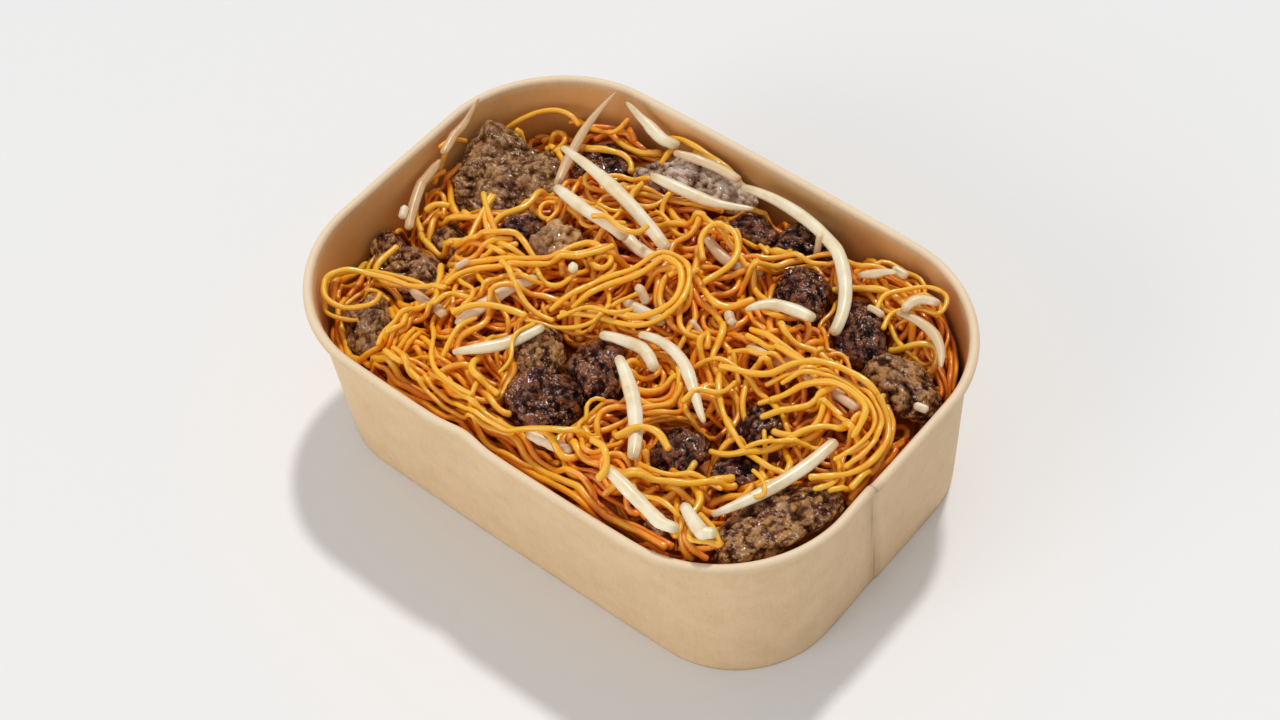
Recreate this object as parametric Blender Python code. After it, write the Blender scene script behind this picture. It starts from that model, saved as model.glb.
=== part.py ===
"""A paper takeaway bowl filled with fried noodles, beef and bean sprouts.

The bowl is a tapered paper wall with a rolled rim and a board let in above its foot. Noodles fill it as
one heap: a smooth core with the strands that show fused on. Beef lies on the core, and the sprouts lie
over everything. The long side of the bowl runs along X and it stands on the plane z = 0.
Sizes and places are in millimetres, and MM turns them into Blender's metres.
"""

import math
import random
from collections import namedtuple

import bmesh
import bpy
import numpy as np
from mathutils import Vector
from mathutils.bvhtree import BVHTree
from mathutils.geometry import delaunay_2d_cdt

MM = 0.001

# The bowl
RIM_LENGTH = 172.0
RIM_WIDTH = 122.0
RIM_CORNER = 37.0
RIM_BOWS = (1.3, 1.9)
BASE_LENGTH = 160.0
BASE_WIDTH = 107.0
BASE_CORNER = 28.0
BASE_BOWS = (0.9, 1.0)
WALL_HEIGHT = 51.0
BEAD_HEIGHT = 3.0
BEAD_REACH = 2.3
PAPER = 0.6
FOOT_WIDTH = 1.5
LEDGE_HEIGHT = 3.2
BOARD_THICKNESS = 1.0
CORNER_STEPS = 8
SEAM_Y = -8.0
SEAM_STEP = 0.4
SEAM_FADE = 16.0
DENT_X = -8.0
DENT_DEPTH = 1.2
DENT_SPREAD = 6.0

# What touches keeps this gap
GAP = 0.3

# The heap of noodles
CORE_MIDDLE = 44.5
CORE_DOME = 4.0
CORE_TILT = (0.03, -0.045)
CORE_DROP = 8.0
CORE_DROP_FROM = -35.0
CORE_DROP_TO = -78.0
CORE_EDGE_DROP = 2.5
CORE_EDGE_FROM = 0.8
CORE_SPAN = (82.0, 58.0)
CORE_RIPPLE = 0.5
CORE_WAVES = ((0.11, 0.05), (-0.03, 0.13))
CORE_HOLLOWS = ((-62.0, 50.0, 13.0, 6.5), (74.0, 42.0, 15.0, 5.0))
CORE_CELL = 9.0
CORE_EDGE_CELLS = 0.75
NOODLE_RADIUS = 0.9
NOODLE_SIDES = 5
NOODLE_STEP = 5.0
NOODLE_SINK = 0.7
NOODLE_CLEAR = 0.6
NOODLE_SHORTEST = 10.0
NOODLE_APART = 3.5

# The noodles drawn by chance: their number, length, start, waves in radians, and how they turn at the wall
DRAWN_NOODLES = 17
DRAWN_TRIES = 24
DRAWN_LENGTHS = (85.0, 130.0)
DRAWN_X = (-70.0, 74.0)
DRAWN_Y = (-50.0, 50.0)
DRAWN_WAVES = (18.0, 45.0)
DRAWN_BENDS = (0.03, 0.10)
DRAWN_LEAN = 0.03
WALL_NEAR = 12.0
WALL_TURN = 0.02
WALL_HEED = 0.3
SEED = 27

# The beef and the sprouts
BEEF_RINGS = 6
BEEF_SIDES = 8
BEEF_SETTLE = 1.6
BEEF_YIELD = 0.25
BEEF_BLUNT = 0.6
BEEF_SWAY = 0.12
SPROUT_SIDES = 5
SPROUT_RINGS = 7
SPROUT_CLEAR = 0.45
SPROUT_END = 0.7
SPROUT_TAPER = 0.3

# A swelling of the beef: how many times it comes round the piece and along it, and its share of the width
BEEF_LUMPS = ((2, 3, 0.10), (3, -2, 0.07))

CELL = 0.5

Finish = namedtuple("Finish", "name colour roughness")
KRAFT = Finish("kraft_paper", (0.66, 0.48, 0.31), 0.75)
BOARD = Finish("kraft_board", (0.60, 0.43, 0.27), 0.75)
NOODLE = Finish("fried_noodle", (0.80, 0.38, 0.04), 0.35)
BEEF = Finish("fried_beef", (0.14, 0.065, 0.04), 0.45)
SPROUT = Finish("bean_sprout", (0.80, 0.74, 0.52), 0.35)

# A piece of beef: its middle, half sizes, heading, roll and bend, with angles in degrees
Beef = namedtuple("Beef", "x y length width height heading roll bend lift")
BEEF_PIECES = {
    "beef_slab": Beef(-64, 20.6, 15.0, 13.4, 4.6, 40, 20, 1.5, 7.0),
    "beef_left_front": Beef(-76.5, -16.5, 7.8, 5.6, 4.0, -47, 0, 0.5, 2.5),
    "beef_left_middle": Beef(-61.5, -21, 8.6, 7.4, 4.2, 30, 0, 1.0, 2.5),
    "beef_left_back": Beef(-62, -5, 5.8, 5.0, 3.0, 12, 0, 0.5, 1.5),
    "beef_near_left": Beef(-58, -42, 9.3, 6.4, 3.6, -46, 0, 0.5, 1.5),
    "beef_fold": Beef(-45, 4, 7.5, 4.7, 4.0, 83, -15, 1.5, 2.0),
    "beef_ball": Beef(-33, 6, 6.8, 6.4, 4.8, -51, 0, 0.5, 2.5),
    "beef_back_left": Beef(-45, 39, 8.0, 6.6, 3.7, 10, 0, 0.8, 1.5),
    "beef_long": Beef(-18, 47, 18.3, 5.7, 4.2, 15, 15, 2.5, 2.5),
    "beef_back_middle": Beef(5, 43, 6.0, 5.3, 3.2, 31, 0, 0.5, 1.5),
    "beef_back_right": Beef(20, 47, 7.3, 6.5, 3.8, 21, 0, 0.5, 1.5),
    "beef_right_inner": Beef(31, 30, 9.6, 6.4, 4.0, -53, 0, 1.0, 2.0),
    "beef_right_middle": Beef(50, 31, 10.5, 6.5, 4.0, -42, 0, 1.0, 2.0),
    "beef_right_end": Beef(69.5, 21.5, 10.8, 8.0, 5.0, 2, 0, 1.0, 3.0),
    "beef_curl": Beef(0, -37, 9.2, 8.2, 4.6, 37, 8, 2.5, 3.0),
    "beef_dark_right": Beef(5, -20.5, 9.8, 7.0, 4.0, -53, 0, 1.0, 1.5),
    "beef_dark_left": Beef(-11, -25, 7.8, 6.6, 3.6, -37, 0, 1.0, 1.0),
    "beef_middle": Beef(38, -29, 7.0, 6.2, 4.0, -46, 0, 1.0, 2.0),
    "beef_inner": Beef(50, -11.5, 7.2, 5.4, 3.5, -53, 0, 0.5, 1.5),
    "beef_low": Beef(53, -25, 5.2, 5.0, 3.0, 29, 0, 0.5, 1.0),
    "beef_strip": Beef(70.5, -31, 18.0, 7.3, 4.6, 63, -10, 2.0, 2.5),
    "beef_near_rim": Beef(48, -49, 3.2, 2.8, 2.5, 37, 0, 0.0, 1.0),
}

# A sprout: the points it passes, its width, and how far its two ends are lifted off the food
Sprout = namedtuple("Sprout", "route width lifts")
SPROUT_PIECES = {
    "sprout_far_tip": Sprout(((-51, 54.5), (-53, 40), (-49, 25)), 2.9, (13.0, 0.0)),
    "sprout_back_long": Sprout(((-50, 30), (-30, 27), (-5, 19)), 3.6, (0.0, 0.0)),
    "sprout_back_short": Sprout(((-42, 18), (-29, 16), (-14, 13)), 3.7, (0.0, 0.0)),
    "sprout_wall_left": Sprout(((-47, 55), (-42, 54), (-28, 51)), 3.6, (4.5, 0.0)),
    "sprout_over_beef": Sprout(((-24, 37), (-10, 40), (3, 46)), 3.5, (0.0, 0.0)),
    "sprout_wall_arc": Sprout(((-25, 48), (-16, 51), (-6, 51)), 2.9, (1.0, 1.0)),
    "sprout_bent": Sprout(((-3, 50), (21, 50), (36, 42), (47, 24)), 3.5, (1.0, 0.0)),
    "sprout_under": Sprout(((-20, 18), (-12, 16), (-5, 16)), 3.5, (0.0, 0.0)),
    "sprout_left": Sprout(((-32, -33), (-30, -21), (-25, -11)), 3.7, (0.0, 0.0)),
    "sprout_near_left": Sprout(((-25, -42), (-18, -33), (-13, -22)), 3.5, (0.0, 0.0)),
    "sprout_hook": Sprout(((1, -14), (9, -12), (20, -16)), 3.4, (0.0, 0.0)),
    "sprout_upright": Sprout(((12, -20), (21, -26), (34, -41)), 3.5, (0.0, 0.0)),
    "sprout_arc": Sprout(((10, -9), (18, -8), (29, -13), (41, -22)), 3.1, (0.0, 0.0)),
    "sprout_middle": Sprout(((28, 12), (34, 19), (42, 21)), 3.5, (0.0, 0.0)),
    "sprout_cross": Sprout(((34, 5), (49, 7), (67, 6)), 3.2, (0.0, 0.0)),
    "sprout_near_right": Sprout(((60, -42), (65, -31), (70, -7)), 3.5, (0.0, 0.0)),
    "sprout_near_edge": Sprout(((33, -49.5), (45, -51.5), (57.5, -54.5)), 3.4, (0.0, 0.0)),
    "sprout_near_corner": Sprout(((54.5, -46), (61, -49), (67, -51)), 3.5, (0.0, 0.0)),
    "sprout_near_stub": Sprout(((5, -48), (11, -47), (17, -46)), 3.3, (0.0, 0.0)),
    "sprout_far_stub": Sprout(((40, 44), (44, 47), (49, 48)), 2.9, (0.0, 2.0)),
    "sprout_right_wall": Sprout(((57, 38), (65, 39), (76, 30)), 3.0, (0.0, 1.0)),
    "sprout_left_wall": Sprout(((-82, 10.5), (-78.5, 0), (-72, -11)), 2.9, (1.0, 0.0)),
    "sprout_left_tip": Sprout(((-83, 29), (-80.6, 20.6), (-77.8, 11)), 2.6, (9.0, 0.0)),
    "sprout_left_front": Sprout(((-56, -27), (-48, -29), (-39, -32)), 3.0, (0.0, 0.0)),
    "sprout_back_stub": Sprout(((1, 29), (9, 28), (18, 30)), 3.4, (0.0, 0.0)),
    "sprout_centre_stub": Sprout(((-3, 0), (4, 0), (10, -1)), 3.2, (0.0, 0.0)),
    "sprout_right_loop": Sprout(((59, 38), (59, 43), (64, 45)), 2.9, (0.0, 1.0)),
}

# A strand that stands out: where it starts, its heading, then arcs of a length and a turn in degrees
Strand = namedtuple("Strand", "x y heading arcs")
STRANDS = {
    "left_loop": Strand(-49, -30, 180, ((20, 30), (26, 215), (10, 60))),
    "fan": Strand(-58, 6, -60, ((17, -10), (22, -40))),
    "climb": Strand(-78, 9, -126, ((16, 75), (12, 25))),
    "left_arc": Strand(-47, -19, 95, ((10, -45), (14, -25), (25, 40))),
    "middle_loop": Strand(-4, -9, 80, ((20, -20), (26, -170), (15, -45))),
    "ring": Strand(29, 13, -174, ((11, 35), (15, 120), (20, 40), (17, 95))),
    "cross": Strand(30, 8, 0, ((25, -10), (16, -95), (10, -80))),
    "bow": Strand(32, -3, -68, ((44, 85),)),
    "hook": Strand(26, -9, 80, ((14, -95), (13, 5), (5, -40))),
    "band_upper": Strand(46, -8, 60, ((24, -70),)),
    "band_lower": Strand(49, -11, 42, ((22, 30),)),
    "swirl_outer": Strand(44, -25, 0, ((19, 70), (10, -10), (32, -200))),
    "swirl_inner": Strand(53, -22, 64, ((19, -35), (21, -165))),
    "right_fall": Strand(70, 14, -17, ((14, -65), (19, 15))),
    "low_wave": Strand(34, -40, -21, ((14, 70), (11, -55))),
    "low_arch": Strand(34, -53, 75, ((16, -50), (18, 35))),
    "rim_loop": Strand(57, -45, -91, ((19, 225),)),
    "near_rim": Strand(-32, -50, -21, ((34, 40),)),
    "near_bow": Strand(-28, -48, -14, ((49, 80),)),
    "far_loop": Strand(42, 41, 66, ((6, -65), (18, 50), (22, -220))),
    "wave": Strand(-26, 36, -116, ((15, 115), (9, 35), (30, -75))),
    "twist": Strand(3, 38, -23, ((22, -90), (7, 10), (7, 70))),
}

# Where the bowl's four sides have points between the corners: far and near along X, left and right along Y
FAR_POINTS = (33, 11, -11, -33)
LEFT_POINTS = (12, 0, -12)
NEAR_POINTS = (-33, -20, -13, DENT_X, -3, 4, 20, 33)
RIGHT_POINTS = (SEAM_Y - 0.5, SEAM_Y, 4, 14)


def clear_scene():
    for old in list(bpy.data.objects):
        bpy.data.objects.remove(old)


def make_material(finish):
    material = bpy.data.materials.new(finish.name)
    material.use_nodes = True
    shader = material.node_tree.nodes["Principled BSDF"]
    shader.inputs["Base Color"].default_value = (*finish.colour, 1.0)
    shader.inputs["Roughness"].default_value = finish.roughness
    shader.inputs["Metallic"].default_value = 0.0
    return material


def add_object(name, points, faces, material):
    """Make an object of points in millimetres, with every face split into triangles."""
    mesh = bpy.data.meshes.new(name)
    mesh.from_pydata([tuple(point) for point in np.asarray(points, dtype=float) * MM], [], faces)
    work = bmesh.new()
    work.from_mesh(mesh)
    bmesh.ops.triangulate(work, faces=work.faces)
    bmesh.ops.recalc_face_normals(work, faces=work.faces)
    work.to_mesh(mesh)
    work.free()
    mesh.materials.append(material)
    made = bpy.data.objects.new(name, mesh)
    bpy.context.scene.collection.objects.link(made)
    return made


def loft(rings, closed=False):
    """Faces between rings of equal size. A closed loft joins the last ring to the first, others get caps."""
    count = len(rings[0])
    faces = []
    last = len(rings) if closed else len(rings) - 1
    for level in range(last):
        low = level * count
        high = (level + 1) % len(rings) * count
        for side in range(count):
            after = (side + 1) % count
            faces.append((low + side, low + after, high + after, high + side))
    if not closed:
        faces.append(tuple(range(count - 1, -1, -1)))
        faces.append(tuple(range(last * count, last * count + count)))
    return np.concatenate(rings), faces


def mix(first, second, share):
    return first + (second - first) * share


def smooth_step(start, end, value):
    share = np.clip((value - start) / (end - start), 0.0, 1.0)
    return share * share * (3.0 - 2.0 * share)


def bowl_sizes(height, inset):
    """Half length, half width, corner and bows of the wall's outer face at a height, drawn in by inset."""
    share = np.minimum(height / WALL_HEIGHT, 1.0)
    half_x = mix(BASE_LENGTH, RIM_LENGTH - 2 * BEAD_REACH, share) / 2
    half_y = mix(BASE_WIDTH, RIM_WIDTH - 2 * BEAD_REACH, share) / 2
    corner = mix(BASE_CORNER, RIM_CORNER - BEAD_REACH, share) - inset
    bow_x = mix(BASE_BOWS[0], RIM_BOWS[0], share)
    bow_y = mix(BASE_BOWS[1], RIM_BOWS[1], share)
    return half_x - bow_x - inset, half_y - bow_y - inset, corner, bow_x, bow_y


def bowl_ring(height, inset, seam=False, dent_depth=DENT_DEPTH):
    """Points round the bowl: round corners and bowed sides, with the dent and, outside, the seam's step."""
    half_x, half_y, corner, bow_x, bow_y = bowl_sizes(height, inset)
    quarters = (
        (1, 1, [(x, half_y) for x in FAR_POINTS]),
        (-1, 1, [(-half_x, y) for y in LEFT_POINTS]),
        (-1, -1, [(x, -half_y) for x in NEAR_POINTS]),
        (1, -1, [(half_x, y) for y in RIGHT_POINTS]),
    )
    points = []
    for quarter, (right, far, side) in enumerate(quarters):
        for step in range(CORNER_STEPS + 1):
            angle = math.radians(90 * (quarter + step / CORNER_STEPS))
            x = right * (half_x - corner) + corner * math.cos(angle)
            y = far * (half_y - corner) + corner * math.sin(angle)
            points.append((x, y))
        points += side
    ring = np.array(points, dtype=float)
    on_ends = np.abs(ring[:, 0]) > half_x - corner
    on_sides = np.abs(ring[:, 1]) > half_y - corner
    bulge_x = bow_x * np.clip(1 - (ring[:, 1] / half_y) ** 2, 0, 1)
    bulge_y = bow_y * np.clip(1 - (ring[:, 0] / half_x) ** 2, 0, 1)
    ring[:, 0] += np.sign(ring[:, 0]) * bulge_x * on_ends
    ring[:, 1] += np.sign(ring[:, 1]) * bulge_y * on_sides
    climb = np.clip((height - LEDGE_HEIGHT) / (WALL_HEIGHT - LEDGE_HEIGHT), 0, 1)
    dent = dent_depth * climb * np.exp(-(((ring[:, 0] - DENT_X) / DENT_SPREAD) ** 2))
    ring[:, 1] += dent * (ring[:, 1] < 2 - half_y)
    if seam:
        recess = SEAM_STEP * smooth_step(SEAM_Y - SEAM_FADE, SEAM_Y, ring[:, 1]) * (ring[:, 1] < SEAM_Y)
        ring[:, 0] -= recess * (ring[:, 0] > half_x - 2)
    return np.column_stack([ring, np.full(len(ring), float(height))])


def build_wall():
    """The wall goes up outside, round the rolled rim, down inside and back under the foot."""
    top = WALL_HEIGHT + BEAD_HEIGHT
    outside = ((0.0, 0.0), (WALL_HEIGHT, 0.0))
    bead = (
        (WALL_HEIGHT, 0.3 - BEAD_REACH),
        (WALL_HEIGHT + 0.8, -BEAD_REACH),
        (top - 1.2, -BEAD_REACH),
        (top - 0.4, 0.6 - BEAD_REACH),
        (top, -0.8),
        (top - 0.3, 0.1),
    )
    inside = ((top - 1.4, PAPER), (LEDGE_HEIGHT, PAPER), (LEDGE_HEIGHT, FOOT_WIDTH), (0.0, FOOT_WIDTH))
    rings = [bowl_ring(height, inset, seam=True) for height, inset in outside + bead]
    rings += [bowl_ring(height, inset) for height, inset in inside]
    points, faces = loft(rings, closed=True)
    return add_object("bowl_wall", points, faces, make_material(KRAFT))


def build_base():
    """The board rests on the ledge that the folded foot makes."""
    low = LEDGE_HEIGHT + GAP
    inset = PAPER + GAP
    points, faces = loft([bowl_ring(low, inset), bowl_ring(low + BOARD_THICKNESS, inset)])
    return add_object("bowl_base", points, faces, make_material(BOARD))


def core_level(x, y):
    """Height of the bare heap: a low dome, tilted towards the near right, that falls away at the far left.

    It has a shallow hollow in each far corner.
    """
    across = np.clip(np.abs(x) / CORE_SPAN[0], 0, 1)
    along = np.clip(np.abs(y) / CORE_SPAN[1], 0, 1)
    dome = CORE_DOME * (1 - across**2) * (1 - along**2)
    tilt = CORE_TILT[0] * x + CORE_TILT[1] * y
    drop = CORE_DROP * smooth_step(CORE_DROP_FROM, CORE_DROP_TO, x)
    edge = smooth_step(CORE_EDGE_FROM, 1.0, np.maximum(across, along)) * (0.5 + 0.5 * y / CORE_SPAN[1])
    first, second = CORE_WAVES
    ripple = CORE_RIPPLE * np.sin(first[0] * x + first[1] * y) * np.cos(second[0] * x + second[1] * y)
    level = CORE_MIDDLE + dome + tilt + ripple - drop - CORE_EDGE_DROP * edge
    for middle_x, middle_y, reach, depth in CORE_HOLLOWS:
        level = level - depth * np.exp(-((x - middle_x) ** 2 + (y - middle_y) ** 2) / reach**2)
    return level


def inside_points(edge):
    """Places in a staggered grid, a cell away from the edge of the heap."""
    row_step = CORE_CELL * math.sin(math.pi / 3)
    rows = int(CORE_SPAN[1] / row_step)
    columns = int(CORE_SPAN[0] / CORE_CELL)
    places = []
    for row in range(-rows, rows + 1):
        for column in range(-columns, columns + 1):
            place = np.array((CORE_CELL * (column + 0.5 * (row % 2)), row_step * row))
            if abs(place[0]) < CORE_SPAN[0]:
                depth = wall_distance(place[0], place[1], CORE_MIDDLE)[0]
                near = np.hypot(*(edge[:, :2] - place).T).min()
                if depth > 0 and near > CORE_EDGE_CELLS * CORE_CELL:
                    places.append(place)
    return np.array(places)


def build_core():
    """The bare heap fills the bowl from the board up, and its top is a net of near-equal triangles."""
    inset = PAPER + GAP + 0.1
    low = LEDGE_HEIGHT + BOARD_THICKNESS + 2 * GAP
    edge = bowl_ring(CORE_MIDDLE, inset)
    for _ in range(4):
        heights = core_level(edge[:, 0], edge[:, 1])
        rings = [bowl_ring(height, inset, dent_depth=DENT_DEPTH + GAP) for height in heights]
        edge = np.array([ring[index] for index, ring in enumerate(rings)])
    count = len(edge)
    points, faces = loft([bowl_ring(low, inset), edge])
    faces.pop()
    middle = inside_points(edge)
    flat = [Vector(place) for place in np.vstack([edge[:, :2], middle])]
    border = [(side, (side + 1) % count) for side in range(count)]
    net = delaunay_2d_cdt(flat, border, [], 1, 0.0001)[2]
    faces += [tuple(count + corner for corner in face) for face in net]
    middle = np.column_stack([middle, core_level(middle[:, 0], middle[:, 1])])
    return add_object("noodle_heap", np.vstack([points, middle]), faces, make_material(NOODLE))


class Ground:
    """The height of everything laid so far, on a grid of square cells over the bowl."""

    def __init__(self):
        self.columns = int(RIM_LENGTH / CELL)
        self.rows = int(RIM_WIDTH / CELL)
        self.height = np.zeros((self.rows, self.columns))

    def cell_of(self, x, y):
        column = np.clip(((np.asarray(x) + RIM_LENGTH / 2) / CELL).astype(int), 0, self.columns - 1)
        row = np.clip(((np.asarray(y) + RIM_WIDTH / 2) / CELL).astype(int), 0, self.rows - 1)
        return row, column

    def cover(self, laid):
        """Look straight down on an object, and raise each cell to what is seen there."""
        mesh = laid.data
        corners = [vertex.co for vertex in mesh.vertices]
        tree = BVHTree.FromPolygons(corners, [tuple(face.vertices) for face in mesh.polygons])
        places = np.array(corners) / MM
        low_row, low_column = self.cell_of(*places[:, :2].min(axis=0))
        high_row, high_column = self.cell_of(*places[:, :2].max(axis=0))
        for row in range(int(low_row), int(high_row) + 1):
            y = ((row + 0.5) * CELL - RIM_WIDTH / 2) * MM
            for column in range(int(low_column), int(high_column) + 1):
                x = ((column + 0.5) * CELL - RIM_LENGTH / 2) * MM
                hit = tree.ray_cast(Vector((x, y, 1.0)), Vector((0.0, 0.0, -1.0)))[0]
                if hit is not None:
                    self.height[row, column] = max(self.height[row, column], hit.z / MM)

    def rest(self, x, y, radius, ball=True):
        """The lowest height at which the middle of a ball, or else of a flat disc, clears what lies below."""
        reach = int(math.ceil(radius / CELL))
        row, column = self.cell_of(x, y)
        best = np.zeros(np.shape(row))
        for down in range(-reach, reach + 1):
            for across in range(-reach, reach + 1):
                away = math.hypot(down, across) * CELL
                if away <= radius:
                    there = self.height[
                        np.clip(row + down, 0, self.rows - 1),
                        np.clip(column + across, 0, self.columns - 1),
                    ]
                    best = np.maximum(best, there + ball * math.sqrt(radius**2 - away**2))
        return best


def wall_distance(x, y, height):
    """How far places lie inside the wall's inner face, and the way out to it."""
    half_x, half_y, corner, _, _ = bowl_sizes(height, PAPER)
    past_x = np.abs(x) - (half_x - corner)
    past_y = np.abs(y) - (half_y - corner)
    out_x = np.maximum(past_x, 0)
    out_y = np.maximum(past_y, 0)
    length = np.hypot(out_x, out_y)
    depth = np.where(length > 0, corner - length, corner - np.maximum(past_x, past_y))
    share = np.maximum(length, 1e-6)
    return depth, np.sign(x) * out_x / share, np.sign(y) * out_y / share


def keep_inside(points, margin):
    """Press points that come too near the wall back from it."""
    moved = points.copy()
    depth, way_x, way_y = wall_distance(points[:, 0], points[:, 1], points[:, 2])
    push = np.maximum(margin - depth, 0)
    moved[:, 0] -= way_x * push
    moved[:, 1] -= way_y * push
    return moved


def turned(points, heading, roll):
    """Roll points about X, then turn them to a heading about Z."""
    tip = math.radians(roll)
    turn = math.radians(heading)
    y = points[:, 1] * math.cos(tip) - points[:, 2] * math.sin(tip)
    z = points[:, 1] * math.sin(tip) + points[:, 2] * math.cos(tip)
    x = points[:, 0]
    return np.column_stack(
        [x * math.cos(turn) - y * math.sin(turn), x * math.sin(turn) + y * math.cos(turn), z]
    )


def build_beef(name, piece, number, ground, material):
    """An uneven blunt-ended slab, bent along its length, whose underside settles on what lies below it."""
    draw = random.Random(SEED + number)
    phases = [draw.uniform(0, 2 * math.pi) for _ in range(4)]
    rings = []
    for ring in range(1, BEEF_RINGS):
        along = math.pi * ring / BEEF_RINGS
        girth = math.sin(along) ** BEEF_BLUNT
        rows = []
        for side in range(BEEF_SIDES):
            around = 2 * math.pi * side / BEEF_SIDES
            lump = 1.0
            for (rounds, waves, swell), phase in zip(BEEF_LUMPS, phases):
                lump += swell * math.sin(rounds * around + waves * along + phase)
            x = -piece.length * math.cos(along)
            y = piece.width * girth * lump * math.cos(around)
            z = piece.height * girth * lump * math.sin(around)
            y += BEEF_SWAY * piece.width * math.sin(2 * along + phases[2])
            z += piece.bend * math.cos(math.pi * math.cos(along) + 0.4 * math.sin(phases[3])) * 0.5
            rows.append((x, y, z))
        rings.append(np.array(rows))
    points, faces = loft(rings)
    faces = faces[:-2]
    count = BEEF_SIDES
    last = len(points) - count
    points = np.vstack([points, (-piece.length, 0, -0.5 * piece.bend), (piece.length, 0, -0.5 * piece.bend)])
    for side in range(count):
        after = (side + 1) % count
        faces.append((after, side, len(points) - 2))
        faces.append((last + side, last + after, len(points) - 1))
    points = turned(points, piece.heading, piece.roll)
    points += (piece.x, piece.y, float(core_level(piece.x, piece.y)) + piece.lift)
    points = keep_inside(points, 2 * GAP)
    floor = ground.rest(points[:, 0], points[:, 1], BEEF_SETTLE, ball=False) + GAP
    points[:, 2] = np.maximum(points[:, 2], floor + BEEF_YIELD * np.maximum(points[:, 2] - floor + 1, 0))
    return add_object(name, points, faces, material)


def along_route(route, count):
    """Points spread along the smooth curve that passes the route's points in turn."""
    stops = np.array(route, dtype=float)
    steps = np.hypot(*np.diff(stops, axis=0).T)
    knots = np.concatenate([[0], np.cumsum(steps)]) / steps.sum()
    share = np.linspace(0, 1, count)
    total = np.zeros((count, 2))
    for index, stop in enumerate(stops):
        weight = np.ones(count)
        for other, knot in enumerate(knots):
            if other != index:
                weight *= (share - knot) / (knots[index] - knot)
        total += weight[:, None] * stop
    return total


def tube_rings(centres, radii, sides):
    """Rings of a tube that follows centres, each ring square to the way ahead."""
    ahead = np.gradient(centres, axis=0)
    ahead /= np.linalg.norm(ahead, axis=1)[:, None]
    level = np.cross(ahead, (0.0, 0.0, 1.0))
    level /= np.linalg.norm(level, axis=1)[:, None]
    upward = np.cross(level, ahead)
    rings = []
    for centre, side_way, up_way, radius in zip(centres, level, upward, radii):
        angles = np.linspace(0, 2 * math.pi, sides, endpoint=False) + math.pi / 2
        ring = centre + radius * (np.cos(angles)[:, None] * side_way + np.sin(angles)[:, None] * up_way)
        rings.append(ring)
    return rings


def build_sprout(name, piece, ground, material):
    """A shoot with tapered ends that lies over whatever is below it."""
    radius = piece.width / 2
    route = along_route(piece.route, SPROUT_RINGS)
    centres = np.column_stack([route, core_level(route[:, 0], route[:, 1])])
    centres = keep_inside(centres, radius + 2 * GAP)
    share = np.linspace(0, 1, SPROUT_RINGS)
    end = np.minimum(share, 1 - share) / SPROUT_TAPER
    radii = radius * np.minimum(SPROUT_END + (1 - SPROUT_END) * end, 1.0)
    fine = np.linspace(0, 1, 8 * SPROUT_RINGS)
    fine_x = np.interp(fine, share, centres[:, 0])
    fine_y = np.interp(fine, share, centres[:, 1])
    rest = ground.rest(fine_x, fine_y, radius + SPROUT_CLEAR)
    pitch = 1 / (SPROUT_RINGS - 1)
    height = np.array([rest[np.abs(fine - place) <= pitch / 2].max() for place in share])
    for _ in range(2):
        padded = np.pad(height, 1, mode="edge")
        height = np.maximum(height, (padded[:-2] + padded[2:]) / 2)
    short = np.maximum(rest - np.interp(fine, share, height), 0)
    height += [short[np.abs(fine - place) <= pitch].max() for place in share]
    centres[:, 2] = height + piece.lifts[0] * (1 - share) ** 2 + piece.lifts[1] * share**2
    points, faces = loft(tube_rings(centres, radii, SPROUT_SIDES))
    return add_object(name, points, faces, material)


def arc_path(strand):
    """Points a millimetre apart along a strand's arcs, with the change from arc to arc eased."""
    turns = []
    for length, turn in strand.arcs:
        turns += [turn / length] * int(length)
    eased = np.convolve(np.pad(turns, 3, mode="edge"), np.ones(7) / 7, mode="valid")
    heading = np.radians(strand.heading + np.cumsum(eased))
    x = strand.x + np.cumsum(np.cos(heading))
    y = strand.y + np.cumsum(np.sin(heading))
    return np.column_stack([x, y])


def drawn_path(draw):
    """A strand drawn by chance: its bend swings slowly, and it turns back when it nears the wall."""
    length = int(draw.uniform(*DRAWN_LENGTHS))
    x = draw.uniform(*DRAWN_X)
    y = draw.uniform(*DRAWN_Y)
    heading = draw.uniform(0, 2 * math.pi)
    wave = draw.uniform(*DRAWN_WAVES)
    phase = draw.uniform(0, 2 * math.pi)
    bend = draw.uniform(*DRAWN_BENDS)
    lean = draw.uniform(-DRAWN_LEAN, DRAWN_LEAN)
    path = []
    for step in range(length):
        depth, way_x, way_y = wall_distance(np.array([x]), np.array([y]), CORE_MIDDLE)
        turn = lean + bend * math.sin(2 * math.pi * step / wave + phase)
        if depth[0] < WALL_NEAR:
            outward = math.cos(heading) * way_x[0] + math.sin(heading) * way_y[0]
            side = math.cos(heading) * way_y[0] - math.sin(heading) * way_x[0]
            turn -= math.copysign(WALL_TURN, side) * max(outward + WALL_HEED, 0) * (WALL_NEAR - depth[0])
        heading += turn
        x += math.cos(heading)
        y += math.sin(heading)
        path.append((x, y))
    return np.array(path)


def open_runs(path, blocked, ground):
    """The stretches of a path that keep clear of the beef and the wall."""
    row, column = ground.cell_of(path[:, 0], path[:, 1])
    depth = wall_distance(path[:, 0], path[:, 1], core_level(path[:, 0], path[:, 1]))[0]
    free = ~blocked[row, column] & (depth > NOODLE_RADIUS + 2 * GAP)
    runs = []
    start = None
    for index, good in enumerate(list(free) + [False]):
        if good and start is None:
            start = index
        if not good and start is not None:
            if index - start >= NOODLE_SHORTEST:
                runs.append(path[start:index])
            start = None
    return runs


def spread(mask, radius):
    """Grow the marked cells of a grid by a radius."""
    reach = int(math.ceil(radius / CELL))
    grown = mask.copy()
    for down in range(-reach, reach + 1):
        for across in range(-reach, reach + 1):
            if math.hypot(down, across) * CELL <= radius:
                grown |= np.roll(np.roll(mask, down, axis=0), across, axis=1)
    return grown


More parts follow.
